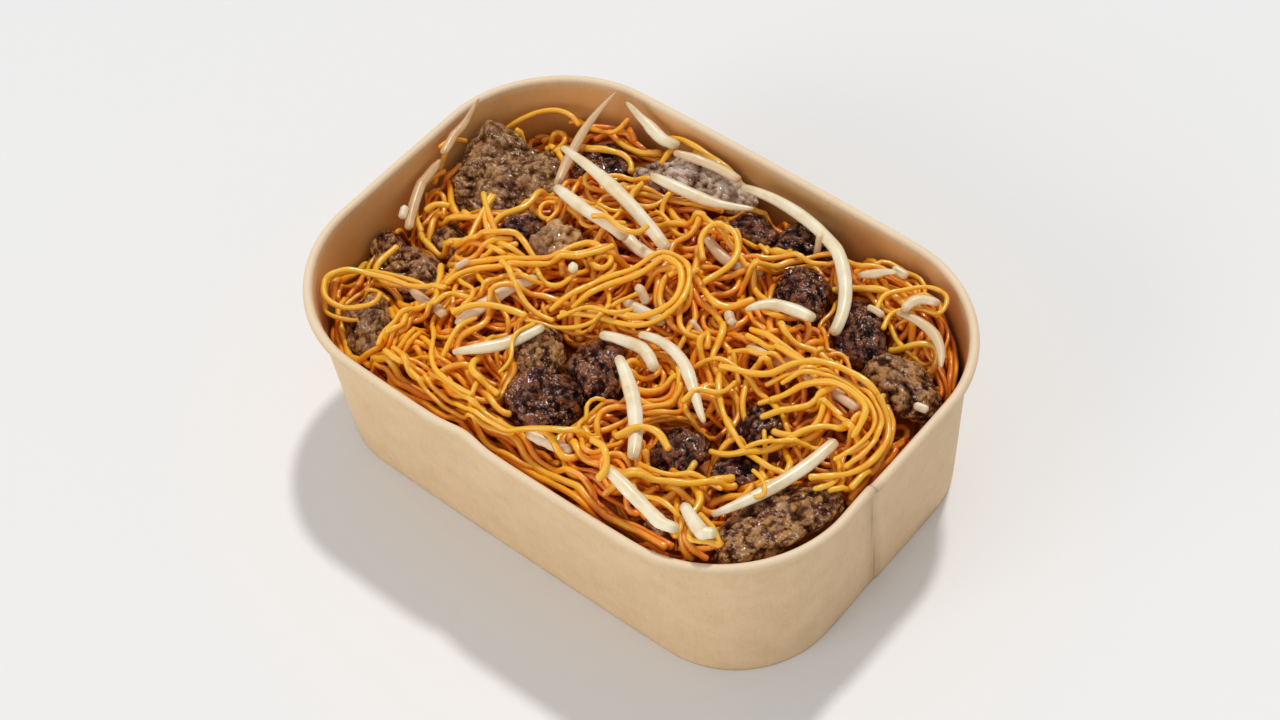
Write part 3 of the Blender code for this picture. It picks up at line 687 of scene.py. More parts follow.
@dataclass
class Bowl:
    """The paper wall with its rolled rim, and the board let in above the foot."""

    form: BowlForm = field(default_factory=BowlForm)
    wall_rows: int = 44
    bead_rows: int = 18
    bead_middle: float = 0.95
    bead_half: tuple[float, float] = (1.35, 1.5)
    bead_turn: tuple[float, float] = (-120.0, 190.0)
    wave: float = 0.12
    wave_length: float = 24.0
    rim_wave: float = 0.18
    rim_wave_length: float = 22.0
    seam_from: float = 60.0

    def profile(self) -> tuple[Array, Array, Array, Array]:
        """The wall's section: up outside, round an ellipse for the rim, down inside and back under the foot.

        Returns:
            Height, inset, share of the seam's step and whether the row is inside, one value for each row.
        """
        form = self.form
        top = form.wall_height + form.bead_height / 2
        outside = np.linspace(0.0, form.wall_height + 0.2, self.wall_rows)
        turn = np.radians(np.linspace(*self.bead_turn, self.bead_rows))
        bead_height = top + self.bead_half[1] * np.sin(turn)
        bead_inset = -self.bead_middle - self.bead_half[0] * np.cos(turn)
        inside = np.linspace(top - 1.2, form.ledge_height, self.wall_rows)
        foot = np.array((form.ledge_height, form.ledge_height / 2, 0.0, 0.0))
        foot_inset = np.array((form.foot_width, form.foot_width, form.foot_width, form.foot_width / 2))
        height = np.concatenate([outside, bead_height, inside, foot])
        inset = np.concatenate(
            [np.zeros(self.wall_rows), bead_inset, np.full(self.wall_rows, form.paper), foot_inset]
        )
        outer, inner = self.wall_rows + self.bead_rows, self.wall_rows + len(foot)
        seam = np.concatenate([np.ones(outer), np.zeros(inner)])
        return height, inset, seam, 1 - seam

    def wall(self) -> bpy.types.Object:
        """The wall as one closed skin, whose paper waves a little by layered noise.

        Returns:
            The wall's object.
        """
        height, inset, seam, within = self.profile()
        grid = self.form.grid(height, inset, seam)
        rows, columns = grid.shape[:2]
        points = grid.reshape(-1, 3)
        way = points[:, :2] / np.linalg.norm(points[:, :2], axis=1)[:, None]
        swell = self.wave * rough_noise(points, self.wave_length, 5) * smooth_step(4.0, 20.0, points[:, 2])
        points[:, :2] += way * swell[:, None]
        rise = self.rim_wave * lattice_noise(points[:, :2], self.rim_wave_length, 8)
        points[:, 2] += rise * smooth_step(46.0, 52.0, points[:, 2])
        line = np.abs(points[:, 1] - self.form.seam_at(points[:, 2]))
        near = np.where(points[:, 0] > self.seam_from, line, self.seam_from)
        marks = {"inside": np.repeat(within, columns), "seam": near}
        shell = Shell(points, grid_quads(rows, columns, True, True), np.zeros((0, 3), int), marks)
        return make_piece("bowl_paper", shell, self.kraft(), Slot.PAPER, ("bowl_wall",))

    def kraft(self) -> bpy.types.Material:
        """Kraft paper: pale fibres and dark flecks on soft mottling, greasy inside with painted warm bounce
        light from the food, a painted highlight along the rim's crest, and a thin seam with a painted shadow.

        Returns:
            The material.
        """
        paint = Paint("kraft_paper")
        mottle = paint.noise(9.0, 4.0, 0.6)
        cloud = paint.noise(38.0, 2.0, 0.5)
        fibre = paint.noise(0.9, 4.0, 0.7, (1, 1, 0.28), 0.4)
        fleck = paint.span(paint.noise(0.75, 2.0, 0.5), 0.66, 0.74)
        base = paint.ramp(
            mottle, [(0.25, (0.69, 0.455, 0.235)), (0.55, (0.78, 0.54, 0.30)), (0.8, (0.83, 0.60, 0.355))]
        )
        base = paint.blend(paint.span(cloud, 0.3, 0.7, 0.0, 0.25), base, (0.70, 0.47, 0.25))
        base = paint.blend(paint.span(fibre, 0.35, 0.75, 0.0, 0.3), base, (0.90, 0.70, 0.46))
        base = paint.blend(paint.sum("MULTIPLY", fleck, 0.3), base, (0.36, 0.21, 0.10))
        high = paint.height()
        # The rim's crest goes cream: a painted highlight where the light falls on the rolled bead.
        crest_highlight = paint.span(high, 52.6, 54.0, 0.0, 0.55)
        base = paint.blend(crest_highlight, base, (0.93, 0.80, 0.60))
        inner = paint.mark("inside")
        # The inner face goes orange, most towards the food: grease, and painted warm bounce light from the
        # noodles.
        grease_and_bounce = paint.span(high, 34.0, 53.0, 0.95, 0.5)
        grease_and_bounce = paint.sum("MULTIPLY", grease_and_bounce, inner)
        grease_and_bounce = paint.sum("MULTIPLY", grease_and_bounce, paint.span(mottle, 0.2, 0.7, 0.7, 1.0))
        base = paint.blend(grease_and_bounce, base, (0.78, 0.37, 0.055))
        # A thin dark line and a softer band along the seam on the outer face: painted shadow of the paper's step
        # there.
        seam = paint.mark("seam")
        line = paint.span(seam, 0.25, 0.55, 0.55, 0.0)
        soft = paint.span(seam, 0.4, 3.5, 0.25, 0.0)
        line = paint.sum("MULTIPLY", paint.sum("MAXIMUM", line, soft), paint.span(inner, 0.0, 1.0, 1.0, 0.0))
        base = paint.blend(line, base, (0.30, 0.16, 0.07))
        rough = paint.span(mottle, 0.2, 0.8, 0.5, 0.68)
        coarse = paint.relief(mottle, 0.25, 0.35)
        fine = paint.relief(fibre, 0.08, 0.6, coarse)
        return paint.finish(
            Base_Color=base,
            Roughness=rough,
            Normal=fine,
            Coat_Weight=0.06,
            Coat_Roughness=0.45,
        )

    def board(self, node: bpy.types.Object) -> None:
        """Dress the base board, which the food hides, as plain pressed kraft board.

        Args:
            node: The board's CAD object.
        """
        paint = Paint("kraft_board")
        speck = paint.noise(1.2, 4.0, 0.6)
        tone = paint.ramp(speck, [(0.3, (0.50, 0.34, 0.19)), (0.7, (0.64, 0.46, 0.28))])
        material = paint.finish(Base_Color=tone, Roughness=0.75, Normal=paint.relief(speck, 0.1, 0.5))
        node.data.materials.clear()
        node.data.materials.append(material)


class Relief:
    """The height of what is laid so far, on square cells over the bowl."""

    def __init__(self, bowl: BowlForm, cell: float = 0.5) -> None:
        """Start with an empty grid.

        Args:
            bowl: The bowl that the grid spans.
            cell: Side of a cell.
        """
        self.cell = cell
        self.corner = np.array((bowl.rim_length / 2, bowl.rim_width / 2))
        self.columns = int(bowl.rim_length / cell)
        self.rows = int(bowl.rim_width / cell)
        x = (np.arange(self.columns) + 0.5) * cell - self.corner[0]
        y = (np.arange(self.rows) + 0.5) * cell - self.corner[1]
        self.x, self.y = np.meshgrid(x, y)
        self.height = np.zeros((self.rows, self.columns))

    def index(self, x: Array, y: Array) -> tuple[Array, Array]:
        """The cells that places lie in, clipped to the grid.

        Args:
            x: Places along the bowl.
            y: Places across it.

        Returns:
            The row and the column of each.
        """
        row = ((y + self.corner[1]) / self.cell).astype(int)
        column = ((x + self.corner[0]) / self.cell).astype(int)
        return self.near(row, column)

    def disc(self, radius: float) -> list[tuple[int, int, float]]:
        """The cells that a ball covers.

        Args:
            radius: The ball's radius.

        Returns:
            Steps down and across to each cell, and the height of the ball's surface there over its middle.
        """
        reach = int(math.ceil(radius / self.cell))
        found = []
        for down in range(-reach, reach + 1):
            for across in range(-reach, reach + 1):
                away = math.hypot(down, across) * self.cell
                if away <= radius:
                    found.append((down, across, math.sqrt(radius**2 - away**2)))
        return found

    def rest(self, x: Array, y: Array, radius: float) -> Array:
        """The lowest height at which the middle of a ball clears what lies below it.

        Args:
            x: Places along the bowl.
            y: Places across it.
            radius: The ball's radius.

        Returns:
            The height at each place.
        """
        row, column = self.index(x, y)
        best = np.full(np.shape(x), NO_GROUND)
        for down, across, rise in self.disc(radius):
            best = np.maximum(best, self.height[self.near(row + down, column + across)] + rise)
        return best

    def near(self, row: Array, column: Array) -> tuple[Array, Array]:
        """Rows and columns clipped to the grid."""
        return np.clip(row, 0, self.rows - 1), np.clip(column, 0, self.columns - 1)

    def stamp(self, points: Array, radius: float) -> None:
        """Raise the grid to balls at points.

        Args:
            points: The balls' middles.
            radius: Their radius.
        """
        row, column = self.index(points[:, 0], points[:, 1])
        for down, across, rise in self.disc(radius):
            np.maximum.at(self.height, self.near(row + down, column + across), points[:, 2] + rise)

    def stamp_surface(self, points: Array) -> None:
        """Raise the grid to points that stand less than a cell apart."""
        np.maximum.at(self.height, self.index(points[:, 0], points[:, 1]), points[:, 2])


def slide(values: Array, reach: int, rule: str) -> Array:
    """The highest, lowest or mean value within reach of each value in a row.

    Args:
        values: A row of numbers.
        reach: How many neighbours count on each side.
        rule: The name of the numpy reduction.

    Returns:
        A row of the same length.
    """
    padded = np.pad(values, reach, mode="edge")
    windows = np.lib.stride_tricks.sliding_window_view(padded, 2 * reach + 1)
    return getattr(windows, rule)(axis=1)


def drape(rest: Array, span: int, sink: float) -> Array:
    """Carry a strand over bumps: close the hollows narrower than span, ease the line, and let it sink a little.

    Args:
        rest: The lowest clear height at each point.
        span: How many points the strand bridges.
        sink: How far it may dip below the clear height.

    Returns:
        The strand's height at each point.
    """
    closed = slide(slide(rest, span, "max"), span, "min")
    eased = slide(slide(closed, max(span // 2, 1), "mean"), max(span // 3, 1), "mean")
    return np.maximum(eased, rest - sink)


def tube(points: Array, radii: Array, sides: int, squareness: float = 0.0, flat: float = 1.0) -> Shell:
    """A tube along a path: rings square to the way ahead, closed by rounded ends.

    The radius at an angle is r (1 + q cos 4a), so q above 0 makes the section a rounded square.

    Args:
        points: The path.
        radii: The radius at each of its points.
        sides: Points in a ring.
        squareness: The factor q.
        flat: Height of the section as a share of its width.

    Returns:
        A closed shell whose crown is marked, from -1 underneath to 1 on top.
    """
    ahead = np.gradient(points, axis=0)
    ahead /= np.linalg.norm(ahead, axis=1)[:, None] + TINY
    level = np.cross(ahead, (0.0, 0.0, 1.0))
    level /= np.linalg.norm(level, axis=1)[:, None] + TINY
    upward = np.cross(level, ahead)
    first = points[:1] - ahead[:1] * radii[0] * CAP_REACH
    last = points[-1:] + ahead[-1:] * radii[-1] * CAP_REACH
    centres = np.concatenate([first, points, last])
    level = np.concatenate([level[:1], level, level[-1:]])
    upward = np.concatenate([upward[:1], upward, upward[-1:]])
    radii = np.concatenate([radii[:1] * CAP_WIDTH, radii, radii[-1:] * CAP_WIDTH])
    angle = np.linspace(0, 2 * np.pi, sides, endpoint=False)
    width = radii[:, None] * (1 + squareness * np.cos(4 * angle))
    rings = centres[:, None] + (width * np.cos(angle))[..., None] * level[:, None]
    rings = rings + (width * flat * np.sin(angle))[..., None] * upward[:, None]
    first_pole = points[0] - ahead[0] * radii[1] * CAP_POLE
    last_pole = points[-1] + ahead[-1] * radii[-2] * CAP_POLE
    shell = skin_of_rings(rings[:, ::-1], first_pole, last_pole)
    shell.marks["crown"] = np.concatenate([np.tile(np.sin(angle)[::-1], len(centres)), [0.0, 0.0]])
    return shell


@dataclass(frozen=True)
class Route:
    """A strand that stands out: where it starts, its heading, then arcs of a length and a turn in degrees."""

    x: float
    y: float
    heading: float
    arcs: tuple[tuple[float, float], ...]

    def path(self, step: float) -> Array:
        """The arcs one after another, with the change from each to the next eased over a few millimetres.

        Args:
            step: Distance between points.

        Returns:
            Points seen from above.
        """
        ease = int(3.0 / step)
        bend = np.concatenate([np.full(int(length / step), turn / length * step) for length, turn in self.arcs])
        heading = np.radians(self.heading + np.cumsum(slide(bend, ease, "mean")))
        x = self.x + np.cumsum(np.cos(heading)) * step
        y = self.y + np.cumsum(np.sin(heading)) * step
        return np.column_stack([x, y])


# The strands that the frame's heap carries too, at the same places.
ROUTES = {
    "climb": Route(-78, 9, -126, ((16, 75), (12, 25))),
    "left_arc": Route(-45, -25, 95, ((10, -45), (14, -25), (25, 40))),
    "cross": Route(30, 8, 0, ((25, -10), (16, -95), (10, -80))),
    "bow": Route(32, -3, -68, ((44, 85),)),
    "hook": Route(26, -9, 80, ((14, -95), (13, 5), (5, -40))),
    "band_upper": Route(46, -8, 60, ((24, -70),)),
    "band_lower": Route(49, -11, 42, ((22, 30),)),
    "swirl_outer": Route(44, -25, 0, ((19, 70), (10, -10), (32, -200))),
    "swirl_inner": Route(53, -22, 64, ((19, -35), (21, -165))),
    "right_fall": Route(70, 14, -17, ((14, -65), (19, 15))),
    "low_wave": Route(34, -40, -21, ((14, 70), (11, -55))),
    "low_arch": Route(34, -53, 75, ((16, -50), (18, 35))),
    "near_rim": Route(-34, -51, -14, ((30, 22), (24, 38))),
    "near_bow": Route(-30, -50, -12, ((28, 16), (28, 52))),
    "wave": Route(-26, 36, -116, ((15, 115), (9, 35), (30, -75))),
    "twist": Route(3, 38, -23, ((22, -90), (7, 10), (7, 70))),
    "right_low": Route(69, 9, -15, ((7, -40), (7, -35), (7, -30))),
    "low_hook": Route(39, -49, 53, ((8, -45), (8, -35), (6, -40), (3, -40))),
    "knot_low": Route(-46, -50, 135, ((5, -45), (7, -25), (8, 10))),
    "knot_high": Route(-41, -35, -27, ((10, -30), (7, 15), (8, 35), (11, 20))),
    "corner": Route(-79, 45, 70, ((6, -40), (7, -30), (9, -25))),
    "back": Route(-54, 40, -10, ((8, 50), (7, -25), (6, -85))),
    "far_wall": Route(-35, 60, 65, ((6, -40), (9, -35), (12, -15))),
}


@dataclass(frozen=True)
class Trail:
    """A strand through stops, each a place and its lift above the heap, or its height where the strand is hung.

    Mates are further strands at its side, about the noodles' spacing apart and each cut to a length of its own:
    to the left of the way ahead above 0, to the right below.
    """

    stops: tuple[tuple[float, float, float], ...]
    hung: bool = False
    mates: int = 0

    def path(self, step: float) -> tuple[Array, Array]:
        """The cubic curve that passes the stops with the slopes of their neighbours.

        Args:
            step: Distance between points.

        Returns:
            Points seen from above, and the lift or height at each.
        """
        stops = np.array(self.stops, dtype=float)
        run = np.concatenate([[0], np.cumsum(np.hypot(*np.diff(stops[:, :2], axis=0).T))])
        slope = np.gradient(stops, run, axis=0)
        along = np.arange(0, run[-1], step)
        piece = np.clip(np.searchsorted(run, along, side="right") - 1, 0, len(run) - 2)
        reach = (run[piece + 1] - run[piece])[:, None]
        share = (along - run[piece])[:, None] / reach
        late = share * share * (3 - 2 * share)
        leave = share * (1 - share) ** 2 * reach
        arrive = share * share * (share - 1) * reach
        curve = stops[piece] * (1 - late) + stops[piece + 1] * late
        curve = curve + slope[piece] * leave + slope[piece + 1] * arrive
        return curve[:, :2], curve[:, 2]


# Further strands that stand out in the heap, placed by their stops.
TRAILS = {
    "fan_left": Trail(
        (
            (-59, 10, 47.6), (-58.3, 5.4, 47.2), (-55.3, -4.2, 46.2), (-52.4, -12.5, 45.6), (-50.4, -19.2, 45),
            (-50.1, -24.8, 44.2), (-51.5, -30, 42),
        ),
        hung=True,
    ),
    "fan_middle": Trail(
        ((-60, 10, 47.4), (-59.1, 6.8, 47.2), (-53.5, 0.7, 46.6), (-47.7, -3.3, 45.6), (-43, -7, 43)),
        hung=True,
    ),
    "fan_right": Trail(
        (
            (-62, 9, 47.6), (-57.9, 5.8, 47.6), (-50, 0.6, 47.2), (-44.1, -3.8, 46.6), (-40.7, -7.3, 45.8),
            (-38, -12, 43),
        ),
        hung=True,
    ),
    "left_hook": Trail(
        (
            (-71, -17, 1), (-71, -21.3, 1), (-70.7, -25.5, 0.8), (-68, -28.5, 0.8), (-62.8, -29.7, 0.6),
            (-55.6, -27, 0),
        )
    ),
    "left_loop": Trail(
        (
            (-44, -25, 0), (-51.2, -27.3, 0), (-63.3, -30.4, 0.8), (-72.8, -36, 1.2), (-74.4, -41.7, 1.6),
            (-69.6, -45.2, 1.6), (-62.9, -43.7, 1.2), (-57.7, -39.1, 2), (-59.9, -34.3, 1.5),
        ),
        mates=-1,
    ),
    "left_curve": Trail(
        ((-78.7, 11.3, 2), (-80.5, 5.8, 2), (-79, 0.4, 1.5), (-75.3, -5.2, 1), (-69.6, -8.8, 0))
    ),
    "back_curve": Trail(((-69.4, 2.8, 1), (-72.7, 0.3, 1), (-73.9, -3.6, 0))),
    "middle_loop": Trail(
        (
            (-15.4, -16, 0), (-13.6, -8, 0.3), (-10.3, 0.5, 0.6), (-5.5, 8, 1), (-2.3, 15.5, 1.4),
            (6.5, 14.5, 1.4), (12.3, 4, 1), (8, -5.5, 0.7), (-3, -10.6, 0.4), (-13.2, -14.9, 0),
        ),
        mates=-1,
    ),
    "cross_left": Trail(
        ((-1.1, 3.4, 0), (-2.1, -3.5, 0.6), (-2.9, -11.8, 1), (-10.2, -18.2, 0.6), (-19.5, -22, 0))
    ),
    "over_left": Trail(((-34.1, -33, 0.4), (-30.3, -27.3, 0.8), (-24.6, -23.7, 0.8), (-17.9, -21.5, 0))),
    "ring": Trail(
        (
            (6.6, 20.6, 0.8), (2.2, 25.4, 1), (2.4, 30.6, 1.2), (6.8, 32.4, 1.2), (12.2, 28.4, 0.8),
            (13.6, 20.1, 0.4), (12, 13, 0),
        )
    ),
    "far_loop": Trail(
        (
            (51.3, 36, 0), (50.1, 41.3, 0.5), (53.6, 46.1, 1), (58.4, 50.3, 1.2), (63.8, 50, 1.2),
            (65.6, 44.9, 1), (58.3, 42.3, 0.6), (54.8, 38.3, 0.3), (56, 32.3, 0),
        ),
        mates=-1,
    ),
    "rim_loop": Trail(
        ((56, -42.7, 0), (63.4, -45.6, 2), (67.7, -49.7, 3), (66.8, -54, 4), (62.3, -53.3, 3), (57.3, -47, 0))
    ),
    "swirl": Trail(
        (
            (33, -6, 0), (45, -0.6, 0.3), (49.8, 5.7, 0.5), (58.1, 10.7, 0.8), (68.7, 11.5, 0.8),
            (77.3, 6, 0.8), (79.6, -4, 0.5), (77.5, -12.5, 0.3), (71, -19, 0),
        ),
        mates=-3,
    ),
    "far_arc": Trail(((-69.2, 53.8, 0), (-60, 49, 0.5), (-52.9, 46.9, 1), (-47.2, 48.6, 1.5), (-46.5, 54, 2))),
    "wall_strand": Trail(((-84.4, 18, 50), (-83.4, 14, 48), (-81.6, 10.8, 45), (-80.1, 7.1, 41)), hung=True),
    "wall_arc": Trail(
        (
            (-78, 32, 41), (-75.7, 36.3, 43.5), (-73.7, 39.4, 44.8), (-71.1, 43, 45.6), (-67.3, 46.4, 45.6),
            (-63, 47.4, 45), (-59.4, 46.6, 43.6),
        ),
        hung=True,
    ),
    "rim_strand": Trail(
        (
            (-34, 57.5, 47.5), (-30.7, 58, 49.5), (-24.6, 58, 50.6), (-19.5, 57.8, 50), (-11.3, 56.5, 48.5),
            (-7.7, 56, 46),
        ),
        hung=True,
    ),
    "rim_left": Trail(
        ((-85.2, 12.5, 51.5), (-84.4, 15.2, 51.2), (-82.6, 18.4, 49.4), (-80.5, 22, 46)),
        hung=True,
    ),
}


# Strands that are laid last, over the ends of sprouts.
CROSSINGS = (
    Trail(((-28.5, -43.5, 0), (-29.6, -38, 0), (-30.2, -34.1, 0), (-29.2, -28, 0))),
    Trail(((-35, -12.5, 0), (-31.8, -13.6, 0), (-26.2, -16.6, 0), (-18.9, -18.5, 0), (-13, -17.1, 0))),
    Trail(((-25, 13, 0), (-21.2, 14.2, 0), (-15.8, 12.9, 0), (-11.2, 14.1, 0), (-10.6, 19.5, 0))),
    Trail(((-12, -17, 0), (-9.5, -14.5, 0), (-5.9, -10.6, 0), (0.5, -8.2, 0), (3.1, -2.9, 0))),
    Trail(((33.2, -21, 0), (34.1, -15.3, 0), (38.5, -12.9, 0), (39, -6.4, 0))),
    Trail(((59.4, -26, 0), (64.1, -27.8, 0), (67.1, -30.9, 0), (63, -33, 0))),
    Trail(((27, -39.6, 0), (30.8, -34, 0), (34.8, -32.5, 0), (40.6, -34.5, 0))),
    Trail(((24.3, -45.2, 0), (30, -46.6, 0), (33.6, -50.5, 0), (33.5, -54, 0))),
    Trail(((-15, -22, 0), (-15.5, -30, 0), (-12, -35, 0), (-12.4, -39.8, 0))),
)


# The colour that every noodle goes to deepest in the heap: sauce, and painted shade.
SOAKED_SHADE = (0.70, 0.18, 0.004)


@dataclass(frozen=True)
class NoodleTone:
    """A kind of fried noodle: its colours from deep in the heap, where sauce and painted shade darken it, to the
    top, its roughness and its gloss.
    """

    name: str
    deep: Colour
    middle: Colour
    top: Colour
    roughness: float
    gloss: float

    def build(self) -> bpy.types.Material:
        """A glossy strand that goes from dark deep in the heap, for sauce and as painted shade, to its own
        colour on top, in blotches, painted darker underneath.

        Returns:
            The material.
        """
        paint = Paint(self.name)
        soak_shade = paint.mark("soak_shade")
        tone = paint.mark("tone")
        blotch = paint.noise(5.0, 3.0, 0.55)
        fine = paint.noise(1.1, 3.0, 0.6)
        # Depth in the heap darkens the colour: sauce, and painted shade deep among the strands.
        share = paint.sum("ADD", soak_shade, paint.span(blotch, 0.3, 0.7, -0.22, 0.2))
        share = paint.sum("ADD", share, paint.span(tone, 0.0, 1.0, 0.22, -0.14))
        # The underside of each strand goes darker and its top paler: painted shade underneath and painted light
        # on top, with sauce gathered underneath.
        share = paint.sum("ADD", share, paint.span(paint.mark("crown"), -0.7, 0.8, 0.24, -0.08))
        share = paint.sum("ADD", share, paint.span(fine, 0.3, 0.7, -0.07, 0.07), True)
        colour = paint.ramp(share, [(0.0, self.top), (0.34, self.middle), (0.72, self.deep), (1.0, SOAKED_SHADE)])
        speck = paint.span(paint.noise(0.7, 2.0, 0.5), 0.68, 0.78, 0.0, 0.6)
        colour = paint.blend(speck, colour, (0.24, 0.07, 0.015))
        rough = paint.span(fine, 0.3, 0.7, self.roughness - 0.06, self.roughness + 0.12)
        skin = paint.relief(fine, 0.12, 0.5)
        return paint.finish(
            Base_Color=colour,
            Roughness=rough,
            Normal=skin,
            Subsurface_Weight=0.22,
            Subsurface_Radius=(1.0, 0.42, 0.1),
            Subsurface_Scale=0.0011,
            Specular_IOR_Level=self.gloss,
            Coat_Weight=self.gloss,
            Coat_Roughness=0.12,
        )


GOLDEN = NoodleTone("noodle_golden", (0.92, 0.25, 0.003), (1.0, 0.37, 0.006), (1.0, 0.51, 0.020), 0.32, 0.6)
AMBER = NoodleTone("noodle_amber", (0.90, 0.22, 0.003), (1.0, 0.34, 0.005), (1.0, 0.46, 0.016), 0.33, 0.5)
# The darker copy of the noodle for the strands under the rest: painted shade deep in the heap.
DARK = NoodleTone("noodle_under_shaded", (0.88, 0.21, 0.003), (0.98, 0.33, 0.005), (1.0, 0.44, 0.012), 0.36, 0.35)


@dataclass(frozen=True)
class Layer:
    """How the strands of a layer are laid.

    Spare is how far below its target the heap may stay, and most is the most strands. Sides is how many points
    a ring of a strand has, and stride is how many path steps lie from ring to ring. Lengths are in path steps
    too, together is the chance of one, two or three side by side, and rise is how high a strand arches.
    """

    spare: float
    most: int
    sides: int
    stride: int
    lengths: tuple[int, int] = (60, 230)
    together: tuple[float, float, float] = (0.6, 0.3, 0.1)
    rise: float = 0.0


UNDER = Layer(2.0, 230, 6, 3)
MIDDLE = Layer(0.6, 270, 8, 2, (40, 180))
UPPER = Layer(0.2, 160, 8, 2, (28, 120), (0.8, 0.2, 0.0), 1.5)
LOOSE = Layer(-0.6, 70, 10, 1, (18, 64), (1.0, 0.0, 0.0), 2.0)


@dataclass
class Noodles:
    """The heap of loose noodles, laid one after another over its own low core.

    Girths are the least and the most radius as shares of the noodles' own. Pool is how many strands are drawn,
    of so many steps, and probe is how many steps lie between the points that a choice among them looks at.
    Spans are how many points a strand bridges, in the fill and among those that stand out. Tucked is how long an
    end is that dips into the heap. Soak shade depths are the depth at which the darkening for sauce and painted
    shade starts to show, and over how many millimetres it grows to the full. Room lists where the fill stays
    lower
    under strands that stand out: a place, a reach and a depth. Target is the height that the fill comes up to.
    """

    bowl: BowlForm
    heap: HeapForm
    relief: Relief
    radius: float = 0.80
    girths: tuple[float, float] = (0.74, 1.22)
    step: float = 0.75
    pool: int = 3200
    steps: int = 250
    probe: int = 5
    under_depth: float = 6.5
    sink: float = 0.32
    spans: tuple[int, int] = (5, 12)
    spacing: float = 1.7
    tucked: float = 7.0
    waver: float = 0.16
    square: float = 0.05
    start_x: tuple[float, float] = (-76.0, 78.0)
    start_y: tuple[float, float] = (-54.0, 54.0)
    wall_level: float = 45.0
    clear: float = 0.4
    fine_sides: int = 10
    mate_chance: float = 0.4
    bright: float = 0.6
    mate_bright: float = 0.4
    hung_tone: float = 0.55
    hung_soak_shade: float = 0.12
    soak_shade_depths: tuple[float, float] = (1.8, 14.0)
    board_level: float = 8.0
    room: tuple[Patch, ...] = ((62.0, -4.0, 18.0, 3.2), (2.0, 3.0, 16.0, 2.0))
    target: Array = field(init=False)

    def start(self) -> None:
        """Set the relief to the low core that the first strands lie on."""
        level = self.heap.level(self.relief.x, self.relief.y)
        self.target = level
        for x, y, reach, depth in self.room:
            away = ((self.relief.x - x) ** 2 + (self.relief.y - y) ** 2) / reach**2
            self.target = self.target - depth * np.exp(-away)
        self.relief.height = level - self.under_depth

    def walk(self, draw: np.random.Generator, curl: float) -> Array:
        """A pool of strands drawn by chance.

        The bend of each is the sum of two sine waves of its own lengths and heights. Near the wall a strand
        turns away from it, the more the closer it is and the straighter it heads there. Each step of the walk
        moves every strand at once.

        Args:
            draw: Where the chance comes from.
            curl: How tightly they curl, from 0 to 1.

        Returns:
            Points of shape (strands, steps, 2).
        """
        count = self.pool
        x = draw.uniform(*self.start_x, count)
        y = draw.uniform(*self.start_y, count)
        heading = draw.uniform(0, 2 * np.pi, count)
        run = np.arange(self.steps) * self.step
        lean = draw.normal(0, 0.03 + 0.05 * curl, count)[:, None]
        wide = draw.uniform(0.03, 0.14 + 0.08 * curl, count)[:, None]
        tight = draw.uniform(0.0, 0.10 + 0.18 * curl, count)[:, None]
        wide_length = draw.uniform(24, 70 - 20 * curl, count)[:, None]
        tight_length = draw.uniform(9, 24 - 6 * curl, count)[:, None]
        phase = draw.uniform(0, 2 * np.pi, (2, count, 1))
        bend = lean + wide * np.sin(2 * np.pi * run / wide_length + phase[0])
        bend += tight * np.sin(2 * np.pi * run / tight_length + phase[1])
        path = np.empty((count, self.steps, 2))
        for number in range(self.steps):
            inside, way_x, way_y = self.bowl.depth(x, y, np.full(count, self.wall_level))
            outward = np.cos(heading) * way_x + np.sin(heading) * way_y
            side = np.cos(heading) * way_y - np.sin(heading) * way_x
            close = np.clip((13 - inside) / 8, 0, 2.0)
            turn = bend[:, number] - np.copysign(0.20, side) * np.maximum(outward + 0.25, 0) * close
            heading = heading + turn * self.step
            x = x + np.cos(heading) * self.step
            y = y + np.sin(heading) * self.step
            path[:, number] = np.column_stack([x, y])
        inside = self.bowl.depth(path[..., 0], path[..., 1], np.full(path.shape[:2], self.wall_level))[0]
        kept = path[inside.min(axis=1) > 0.0]
        log.info("walk: %d of %d strands stay in the bowl", len(kept), count)
        return kept

    def choose(self, paths: Array, length: int, blocked: Array, spare: float) -> Optional[Array]:
        """The stretch of the pool's strands that runs most over ground that is still low.

        Args:
            paths: The pool.
            length: Points in the stretch.
            blocked: Cells that strands are kept off.
            spare: How far below the target the ground must lie on average.

        Returns:
            The stretch, or None where the heap is full.
        """
        stride = self.probe
        row, column = self.relief.index(paths[:, ::stride, 0], paths[:, ::stride, 1])
        low = np.clip((self.target - self.relief.height)[row, column], -2.5, 5.0) - 12.0 * blocked[row, column]
        total = np.cumsum(np.pad(low, ((0, 0), (1, 0))), axis=1)
        window = min(length // stride, low.shape[1])
        gain = (total[:, window:] - total[:, :-window]) / window
        strand, start = np.unravel_index(int(np.argmax(gain)), gain.shape)
        if gain[strand, start] < spare:
            return None
        return paths[strand, start * stride : start * stride + length]

    def beside(self, path: Array, offset: float, draw: np.random.Generator) -> Array:
        """A path next to another, that wanders a little from it.

        Args:
            path: The other path.
            offset: How far to its left it keeps.
            draw: Where the chance comes from.

        Returns:
            Points seen from above.
        """
        way = np.gradient(path, axis=0)
        way /= np.linalg.norm(way, axis=1)[:, None] + TINY
        wander = np.cumsum(draw.normal(0, 0.09, len(path)))
        wander -= np.linspace(0, wander[-1], len(path))
        away = offset + slide(wander, 6, "mean")
        return path + np.column_stack([-way[:, 1], way[:, 0]]) * away[:, None]

    def clearance(self, points: Array, radius: float) -> Array:
        """The lowest clear height along a strand, which also passes over its own earlier stretches.

        Args:
            points: The strand's points.
            radius: Its radius.

        Returns:
            A height for each point.
        """
        found = np.empty(len(points))
        reach = int(9.0 / self.step)
        for start in range(0, len(points), reach):
            part = slice(start, start + reach)
            found[part] = self.relief.rest(points[part, 0], points[part, 1], radius)
            if start:
                past = slice(start - reach, start)
                self.relief.stamp(np.column_stack([points[past, :2], found[past]]), radius)
        return found

